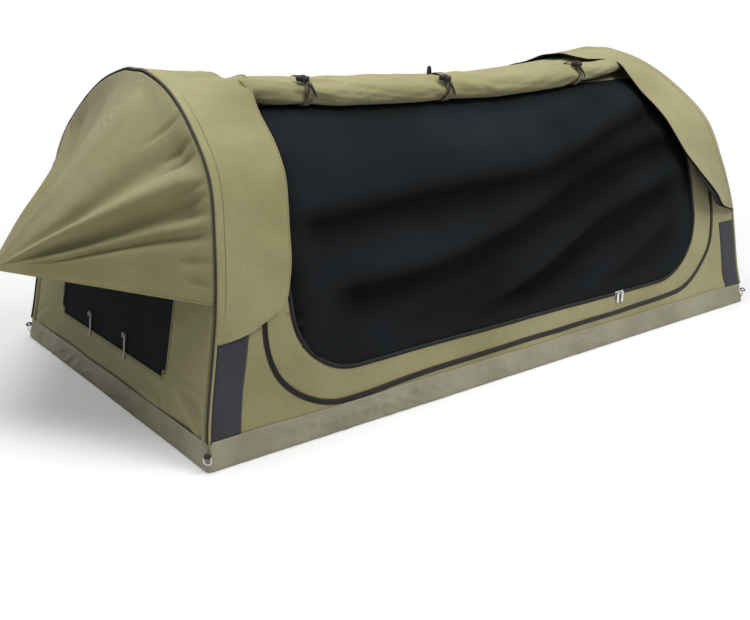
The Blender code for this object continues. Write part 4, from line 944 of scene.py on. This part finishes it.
def awningPlace(side, a, b):
    s = lowRun + (hoopRun - 2 * lowRun) * a
    if b < 0:
        return hoopPoint(side, s, awning["inset"], awning["flangeFoot"])
    root = hoopPoint(side, s, awning["inset"], awning["flange"])
    tip = Vector((side * (swag["length"] / 2 + awning["reach"]), 0, awning["tip"]))
    tip.y = awning["tipWidth"] * (a - 0.5)
    out = Vector((side, 0, 0)) * math.cos(math.pi / 5) + normalAt(s) * math.sin(math.pi / 5)
    bow = 27 / 4 * b * (1 - b) ** 2 * math.sin(math.pi * a)
    hollow = smoothStep((a - awning["hollowFrom"]) / awning["hollowRun"])
    bow *= awning["bulge"] - (awning["bulge"] + awning["hollow"]) * hollow
    lift = awning["ripple"] * wobble(a * 6.0, b * 2.2, side * 5.0) - awning["dip"]
    lift *= smoothStep(b / 0.1) * (1 - b)
    for place, width, height, low, high in foldPlaces:
        shift = a - place - awning["sway"] * wobble(b * 2.0, place * 17.0, side * 3.0)
        if abs(shift) < width * 3:
            start = smoothStep((b - low + awning["foldStart"]) / awning["foldFade"])
            lift += height * bump(shift, 0.0, width) * start * smoothStep((high - b) / (0.35 * high + 0.05))
    return root.lerp(tip, b) + out * (bow + lift * smoothStep(min(a, 1 - a) / 0.02))


def finishAwning(piece, materials, side, *replacing):  # a piece on the hoop's body, with a mesh of its own
    finish(piece, materials, "hoop_left" if side < 0 else "hoop_right", *replacing)
    tuple(hoopPoint(side, midRun, awning["keepInset"]))
    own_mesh(piece)


for sideName, side in sides.items():
    across = spread(0.0, 1.0, awning["columns"])
    if side > 0:
        across.reverse()
    along = [-1.0] + [t**1.2 for t in spread(0.0, 1.0, awning["rows"])]
    shade = sheetObject("awningCloth_" + sideName, lambda a, b, side=side: awningPlace(side, a, b), across,
                        along)
    thickCloth(shade, awning["thickness"], inner=1)
    shade.cycles.shadow_terminator_geometry_offset = 0.5
    shade.cycles.shadow_terminator_offset = 0.15
    finishAwning(shade, [polycottonCanvas, coatedBack], side, ["awning_" + sideName], "canvas")
    for end, a in (("front", 0.0), ("back", 1.0)):  # folded hem along each lower edge
        line = [awningPlace(side, a, b) for b in along[1:-3]]
        hem = tubeAlong(f"awningHem_{sideName}_{end}", line, awning["hem"], 8, flatten=0.7)
        finishAwning(hem, polycottonCanvas, side)
    # webbing tab with its eyelet hole at the tip
    tip = awningPlace(side, 0.5, 1.0)
    run = (tip - awningPlace(side, 0.5, 0.95)).normalized()
    hang = Vector((side * 0.55, 0, -0.83)).normalized()
    path = [tip + run * t for t in tipTab["seam"]] + [tip + hang * t for t in tipTab["hang"]]
    tab = webStrap("tipTab_" + sideName, path, Vector((0, side, 0)), tipTab["width"], tipTab["thickness"])
    bpy.ops.object.select_all(action="DESELECT")
    bpy.ops.mesh.primitive_cylinder_add(radius=tipTab["eyelet"], depth=tipTab["punch"], vertices=28,
                                        location=tuple(path[-1] - hang * tipTab["eyeletUp"]))
    punch = bpy.context.active_object
    punch.rotation_euler = hang.cross(Vector((0, 1, 0))).to_track_quat("Z", "Y").to_euler()
    eyelet = tab.modifiers.new("eyelet", "BOOLEAN")
    eyelet.operation = "DIFFERENCE"
    eyelet.solver = "EXACT"
    eyelet.object = punch
    applyAll(tab)
    bpy.data.objects.remove(punch)
    finishAwning(tab, greyWebbing, side, ["awning_tab_" + sideName], "grey_webbing")
print("awnings made")

# Rolled flap: the door's canvas in a loose spiral, held by three ties
roll = {"left": -0.765, "right": 0.705, "cadLeft": -0.733, "cadRight": 0.671, "halfWidth": 0.052,
        "halfHeight": 0.037, "middle": 0.767, "leftEnd": 0.792, "rightEnd": 0.800, "seat": 0.0046,
        "slopeRun": 0.03, "turns": 3.1, "start": -0.58, "layer": 0.115, "columns": 250, "steps": 150,
        "thickness": 0.0016, "waist": 0.14, "waistReach": 0.035, "endRound": 0.05, "leftTaper": 0.15,
        "rightTaper": 0.40, "crease": 0.085, "fineCrease": 0.065, "sharpFold": 0.075, "gather": 0.070,
        "gatherReach": 0.060}
root = {"away": 0.060, "seat": 0.0012, "inside": 0.93, "rise": 0.004, "slack": 0.003, "pucker": 0.004,
        "thickness": 0.0012}
tieSizes = {"width": 0.024, "thickness": 0.0014, "off": 0.0018, "steps": 56}
toggleSizes = {"angle": math.pi * 0.33, "off": 0.0035, "lift": 0.0080, "shift": 0.016, "radius": 0.0080,
               "keeper": (0.0085, 0.0095), "keeperWidth": 0.009, "keeperTurn": 2.3,
               "tail": 0.0022, "tailOff": 0.002, "tailStart": 0.20, "tailTurn": 0.085,
               "tailLeans": (-0.5, 0.7)}
halfToggle = [(0, 0.8), (0.003, 0.86), (0.007, 0.98), (0.012, 1.0), (0.015, 0.92), (0.0165, 0.72),
              (0.017, 0.45)]  # (place from the middle, share of the radius)
rollMiddle, rollReach = (roll["cadLeft"] + roll["cadRight"]) / 2, (roll["cadRight"] - roll["cadLeft"]) / 2
tiePlaces = [rollMiddle + rollReach * share for share in (-0.80, -0.16, 0.67)]


def rollSeat(x):  # where the roll lies on the canopy, as its two coordinates
    away = min(((x - rollMiddle) / rollReach) ** 2, 1.0)
    level = roll["middle"] + (roll["leftEnd" if x < rollMiddle else "rightEnd"] - roll["middle"]) * away
    return x / halfLengthAt(level), runAtHeight(level)


def rollRest(x):  # the roll's centre with the canopy's slope and normal there
    u, s = rollSeat(x)
    down = canopyPoint(u, s - roll["slopeRun"]) - canopyPoint(u, s + roll["slopeRun"])
    down.x = 0
    down.normalize()
    normal = Vector((0, down.z, -down.y))
    return canopyPoint(u, s) + normal * (roll["seat"] + roll["halfHeight"]), down, normal


def rollEnd(x):  # how full the roll is towards its ends
    left, right = x - roll["left"], roll["right"] - x
    end = min(left / roll["endRound"], right / roll["endRound"], 1.0)
    if x > 0:
        taper = 0.58 + 0.42 * smoothStep(right / roll["rightTaper"])
    else:
        taper = 0.8 + 0.2 * smoothStep(left / roll["leftTaper"])
    return taper * (0.55 + 0.45 * math.sqrt(max(end * (2 - end), 0.0)))


def rollSize(x):  # the same, drawn in at the ties
    size = 1.0
    for tie in tiePlaces:
        size -= roll["waist"] * bump(max(abs(x - tie) - tieSizes["width"], 0.0), 0.0, roll["waistReach"])
    return size * rollEnd(x)


def rollPlace(x, turn):
    centre, down, normal = rollRest(x)
    angle = math.pi * (roll["start"] + 2 * turn)
    inward = 1 - roll["layer"] * turn
    near = max(bump(x, tie, roll["gatherReach"]) for tie in tiePlaces)
    creases = roll["crease"] * wobble(x * 6.0 + angle * 0.75, angle * 0.9, 3.0)
    creases += roll["fineCrease"] * wobble(x * 15.0 - angle * 1.4, angle * 1.3, 6.0)
    fold = 1 - abs(wobble(x * 5.0 + angle * 1.1, angle * 0.6, 11.0)) * 3.2
    creases -= roll["sharpFold"] * max(fold, 0.0) ** 3
    creases += near * roll["gather"] * math.sin(angle * 5 + x * 34.0)
    size = (rollSize(x) + creases * (1 - 0.3 * near)) * inward
    rise = size if math.sin(angle) > 0 else rollEnd(x) * inward * (1.07 - 0.08 * min(near * 1.4, 1.0))
    across, up = roll["halfWidth"] * size * math.cos(angle), roll["halfHeight"] * rise * math.sin(angle)
    return centre + down * across + normal * up


def rootPlace(x, b):  # the flap's canvas from its seam on the canopy to the back of the roll
    centre, down, normal = rollRest(x)
    u, s = rollSeat(x)
    seam = canopyPoint(u, s + root["away"], root["seat"])
    top = centre - down * roll["halfWidth"] * rollSize(x) * root["inside"] + normal * root["rise"]
    pucker = root["pucker"] * wobble(x * 16.0, b * 1.5, 8.0) * math.sin(math.pi * b)
    return seam.lerp(top, b) - (down + normal) * (root["slack"] * math.sin(math.pi * b) + pucker)


xs = spread(roll["left"], roll["right"], roll["columns"])
turns = spread(0.0, roll["turns"], roll["steps"])
rollSheet = sheetObject("flapRoll", rollPlace, xs, turns, (1.0, 0.22))
thickCloth(rollSheet, roll["thickness"], offset=-1.0)
finish(rollSheet, polycottonCanvas, "base", ["rolled_flap"], "canvas")
rootSheet = sheetObject("flapRoot", rootPlace, xs[2:-2], spread(0.0, 1.0, 10))
finish(thickCloth(rootSheet, root["thickness"]), polycottonCanvas, "base")


def aroundRoll(x, angle, off, tight=True):  # a place off the roll; its underside isn't drawn in if not tight
    centre, down, normal = rollRest(x)
    wide, tall = roll["halfWidth"] * rollSize(x) + off, roll["halfHeight"] * rollSize(x) + off
    if not tight and math.sin(angle) <= 0:
        tall = roll["halfHeight"] + off
    return centre + down * wide * math.cos(angle) + normal * tall * math.sin(angle)


for number, x in enumerate(tiePlaces, 1):
    _, down, normal = rollRest(x)
    loop = [aroundRoll(x, t, tieSizes["off"], tight=False)
            for t in spread(0, 2 * math.pi, tieSizes["steps"] + 1)]
    alongRoll = (rollRest(x + tieSizes["width"])[0] - rollRest(x - tieSizes["width"])[0]).normalized()
    tie = webStrap(f"tieStrap_{number}", loop, alongRoll, tieSizes["width"], tieSizes["thickness"])
    finish(tie, brownWebbing, "base", [f"roll_tie_{number}"], "black_webbing")
    # turned toggle, the webbing keeper over it and two short tails
    angle, off = toggleSizes["angle"], toggleSizes["off"]
    wide, tall = roll["halfWidth"] * rollSize(x) + off, roll["halfHeight"] * rollSize(x) + off
    away = (down * math.cos(angle) / wide + normal * math.sin(angle) / tall).normalized()
    spot = aroundRoll(x, angle, off) + away * toggleSizes["lift"] - alongRoll * toggleSizes["shift"]
    across = (Vector((1, 0, 0)) * 0.9 + down * 0.45).normalized()
    turned = [(-t, r) for t, r in reversed(halfToggle[1:])] + halfToggle
    toggle = tubeAlong(f"toggle_{number}", [spot + across * t for t, r in turned], toggleSizes["radius"], 16,
                       radii=[r for t, r in turned])
    finish(toggle, mouldedNylon, "base", [f"roll_toggle_{number}"], "black_plastic")
    deep, high = toggleSizes["keeper"]
    keeper = [spot + away * deep * math.cos(t) + away.cross(across) * high * math.sin(t)
              for t in spread(-toggleSizes["keeperTurn"], toggleSizes["keeperTurn"], 18)]
    band = webStrap(f"toggleKeeper_{number}", keeper, across, toggleSizes["keeperWidth"],
                    tieSizes["thickness"])
    finish(band, blackWebbing, "base")
    for tail, lean in enumerate(toggleSizes["tailLeans"], 1):
        tailLine = []
        for k in range(12):
            point = aroundRoll(x, angle - toggleSizes["tailStart"] - k * toggleSizes["tailTurn"],
                               off + toggleSizes["tailOff"])
            tailLine.append(point + Vector((lean * toggleSizes["tail"] * k, 0, 0)))
        finish(tubeAlong(f"tieTail_{number}_{tail}", tailLine, toggleSizes["tail"], 8), blackWebbing, "base")
print("roll made")

# Ridge strap with its upright loop
ridgeStrap = {"from": 0.012, "to": 0.172, "width": 0.030, "thickness": 0.0016, "seat": 0.0042, "loop": 0.092,
              "loopWidth": 0.012, "loopSeat": 0.0050, "loopReach": 0.0052, "loopHeight": 0.026}
ridgeHalf, acrossBed = halfLengthAt(swag["ridge"]), Vector((0, 1, 0))
strapLine = [canopyPoint(x / ridgeHalf, midRun, ridgeStrap["seat"])
             for x in spread(ridgeStrap["from"], ridgeStrap["to"], 24)]
ridge = webStrap("ridgeStrap", strapLine, acrossBed, ridgeStrap["width"], ridgeStrap["thickness"])
finish(ridge, blackWebbing, "base", ["ridge_strap"], "black_webbing")
foot = canopyPoint(ridgeStrap["loop"] / ridgeHalf, midRun, ridgeStrap["loopSeat"])
loopLine = [foot + Vector((ridgeStrap["loopReach"] * math.cos(t), 0, ridgeStrap["loopHeight"] * math.sin(t)))
            for t in spread(math.pi, 0.0, 22)]
hangLoop = webStrap("ridgeHangLoop", loopLine, acrossBed, ridgeStrap["loopWidth"], ridgeStrap["thickness"])
finish(hangLoop, blackWebbing, "base")
print("ridge strap made")

# Corners
patchSizes = {"width": 0.080, "top": 0.30, "start": 0.004, "seat": 0.0026, "slack": 0.0006,
              "thickness": 0.0012}
pegLoop = {"reach": 0.0078, "height": 0.0055, "width": 0.0128, "thickness": 0.0014}
for sideName, side in sides.items():
    for endName, end in ends.items():
        label = sideName + "_" + endName

        def patchPlace(a, s, side=side, end=end):
            run = s if end < 0 else hoopRun - s
            u = side * (1 - (patchSizes["start"] + patchSizes["width"] * a) / halfLengthAt(outlineAt(run)[1]))
            slack = patchSizes["slack"] * wobble(a * 4.0, s * 12.0, side + end * 2.0)
            return canopyPoint(u, run, patchSizes["seat"] + slack)

        along = spread(patchSizes["start"], runAtHeight(patchSizes["top"]), 34)
        patch = sheetObject("patch_" + label, patchPlace, spread(0.0, 1.0, 12), along)
        facing = sum(f.normal.y * f.area for f in patch.data.polygons)
        if facing * end < 0:
            patch.data.flip_normals()
        thickCloth(patch, patchSizes["thickness"])
        finish(patch, coatedNylon, "base", ["corner_patch_" + label], "charcoal")

        # webbing loop that holds the ring
        low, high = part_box("corner_loop_" + label)
        centre = (low + high) / 2
        outward = Vector((side, end, 0)).normalized()
        tangent = Vector((0, 0, 1)).cross(outward)
        wide, tall = outward * pegLoop["reach"], Vector((0, 0, pegLoop["height"]))
        loop = [centre + wide * math.cos(t) + tall * math.sin(t) for t in spread(math.pi, -math.pi, 33)]
        strapLoop = webStrap("pegLoop_" + label, loop, tangent, pegLoop["width"], pegLoop["thickness"])
        finish(strapLoop, blackWebbing, "base", ["corner_loop_" + label], "black_webbing", squashed=False)
print("corners made")


# Kept solids get their finishes, and the zip's small metal parts get rounded edges
def joinFlatFaces(work):
    bmesh.ops.dissolve_limit(work, angle_limit=0.02, verts=work.verts[:], edges=work.edges[:])


def roundedCopy(node, name, body):
    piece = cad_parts[node].copy()
    piece.data = piece.data.copy()
    piece.name = name
    piece.parent = None
    for key in [k for k in piece.keys() if k.startswith("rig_")]:
        del piece[key]
    scene.collection.objects.link(piece)
    reshape(piece, lambda work: mergeDoubled(work, 0.00001), joinFlatFaces)
    edges = piece.modifiers.new("edges", "BEVEL")
    edges.width = metalEdge
    edges.segments = 2
    edges.limit_method = "ANGLE"
    applyAll(piece)
    finish(piece, nickelZinc, body, [node], "zinc")


metalEdge = 0.0003
for sideName in sides:
    roundedCopy("zip_slider_" + sideName, "slider_" + sideName, "slider_" + sideName)
    roundedCopy("zip_pull_" + sideName, "pullTab_" + sideName, "pull_" + sideName)
keptFinishes = {"corner_ring": nickelZinc, "ferrule": drawnAlloy, "pole_pocket": mouldedNylon,
                "pole_left": drawnAlloy, "pole_right": drawnAlloy}
for nodeName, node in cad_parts.items():
    for start, material in keptFinishes.items():
        if nodeName.startswith(start):
            node.data.materials.clear()
            node.data.materials.append(material)
# smooth canvas sleeves in place of the plain ones
sleeveSizes = {"inset": 0.0165, "radius": 0.0080, "end": 0.004, "points": 200, "uneven": 0.05}
for sideName, side in sides.items():
    runs = spread(sleeveSizes["end"], hoopRun - sleeveSizes["end"], sleeveSizes["points"])
    line = [hoopPoint(side, s, sleeveSizes["inset"]) for s in runs]
    radii = [1 + sleeveSizes["uneven"] * wobble(i * 0.21, side, 0.0) for i in range(len(line))]
    sleeve = tubeAlong("sleeveCloth_" + sideName, line, sleeveSizes["radius"], 14, radii=radii)
    finish(sleeve, polycottonCanvas, "hoop_" + sideName, ["pole_sleeve_" + sideName], "canvas")
print("kept solids finished")

# Camera, floor and light
view = {"place": (-1.97234842, -2.38443119, 1.02612869), "towards": (0.582, 0.753, -0.307), "roll": -0.13,
        "lens": 45.84}
cameraData = bpy.data.cameras.new("camera")
cameraData.lens = view["lens"]
cameraData.sensor_width = 36
camera = bpy.data.objects.new("camera", cameraData)
scene.collection.objects.link(camera)
aim = Vector(view["towards"]).to_track_quat("-Z", "Y").to_matrix().to_4x4()
tilt = Matrix.Rotation(math.radians(view["roll"]), 4, "Z")
camera.matrix_world = Matrix.Translation(view["place"]) @ aim @ tilt
scene.camera = camera

bpy.ops.mesh.primitive_plane_add(size=40, location=(0, 0, 0))
floor = bpy.context.active_object
floor.name = "paleFloor"
floorPaint, tree, shader = newMaterial("paleFloorPaint",
                                       {"Base Color": hexColour("#f4f4f4"), "Roughness": 0.6})
path = addNode(tree, "ShaderNodeLightPath")
glow = addNode(tree, "ShaderNodeEmission", values={"Strength": 1.0})
glow.inputs["Color"].default_value = (1, 1, 1, 1)
mixed = addNode(tree, "ShaderNodeMixShader")
output = next(node for node in tree.nodes if node.type == "OUTPUT_MATERIAL")
tree.links.new(shader.outputs["BSDF"], mixed.inputs[1])
tree.links.new(glow.outputs["Emission"], mixed.inputs[2])
# the far floor glows white to the camera, and the floor near the swag keeps the shadow
where = addNode(tree, "ShaderNodeTexCoord")
far = addNode(tree, "ShaderNodeVectorMath", {"operation": "LENGTH"}, {0: where.outputs["Object"]})
share = addNode(tree, "ShaderNodeMapRange", {"interpolation_type": "SMOOTHSTEP"},
                {"Value": far.outputs["Value"]},
                {"From Min": 1.2, "From Max": 2.6, "To Min": 0.25, "To Max": 1.0})
seen = addNode(tree, "ShaderNodeMath", {"operation": "MULTIPLY"},
               {0: share.outputs["Result"], 1: path.outputs["Is Camera Ray"]})
tree.links.new(seen.outputs[0], mixed.inputs[0])
tree.links.new(mixed.outputs[0], output.inputs["Surface"])
floor.data.materials.append(floorPaint)

world = bpy.data.worlds.new("studio")
scene.world = world
world.use_nodes = True
tree = world.node_tree
backdrop = tree.nodes["Background"]
backdrop.inputs["Color"].default_value = (1, 1, 1, 1)
path = addNode(tree, "ShaderNodeLightPath")
lit = addNode(tree, "ShaderNodeMath", {"operation": "MAXIMUM"},
              {0: path.outputs["Is Camera Ray"], 1: path.outputs["Is Glossy Ray"]})
level = addNode(tree, "ShaderNodeMapRange", links={"Value": lit.outputs[0]},
                values={"To Min": 0.29, "To Max": 1.0})
tree.links.new(level.outputs["Result"], backdrop.inputs["Strength"])

softLamps = {
    "mainLamp": {"place": (0.8, -2.3, 3.6), "target": (0, 0, 0.3), "size": 1.9, "power": 112},
    "topLamp": {"place": (-0.8, 0.0, 3.6), "target": (0, 0, 0.4), "size": 2.6, "power": 85},
}
for name, facts in softLamps.items():
    lamp = bpy.data.lights.new(name, "AREA")
    lamp.shape = "DISK"
    lamp.size = facts["size"]
    lamp.energy = facts["power"]
    holder = bpy.data.objects.new(name, lamp)
    scene.collection.objects.link(holder)
    way = Vector(facts["target"]) - Vector(facts["place"])
    turn = way.to_track_quat("-Z", "Y").to_matrix().to_4x4()
    holder.matrix_world = Matrix.Translation(facts["place"]) @ turn
scene.view_settings.view_transform = "Standard"
print("stage made")
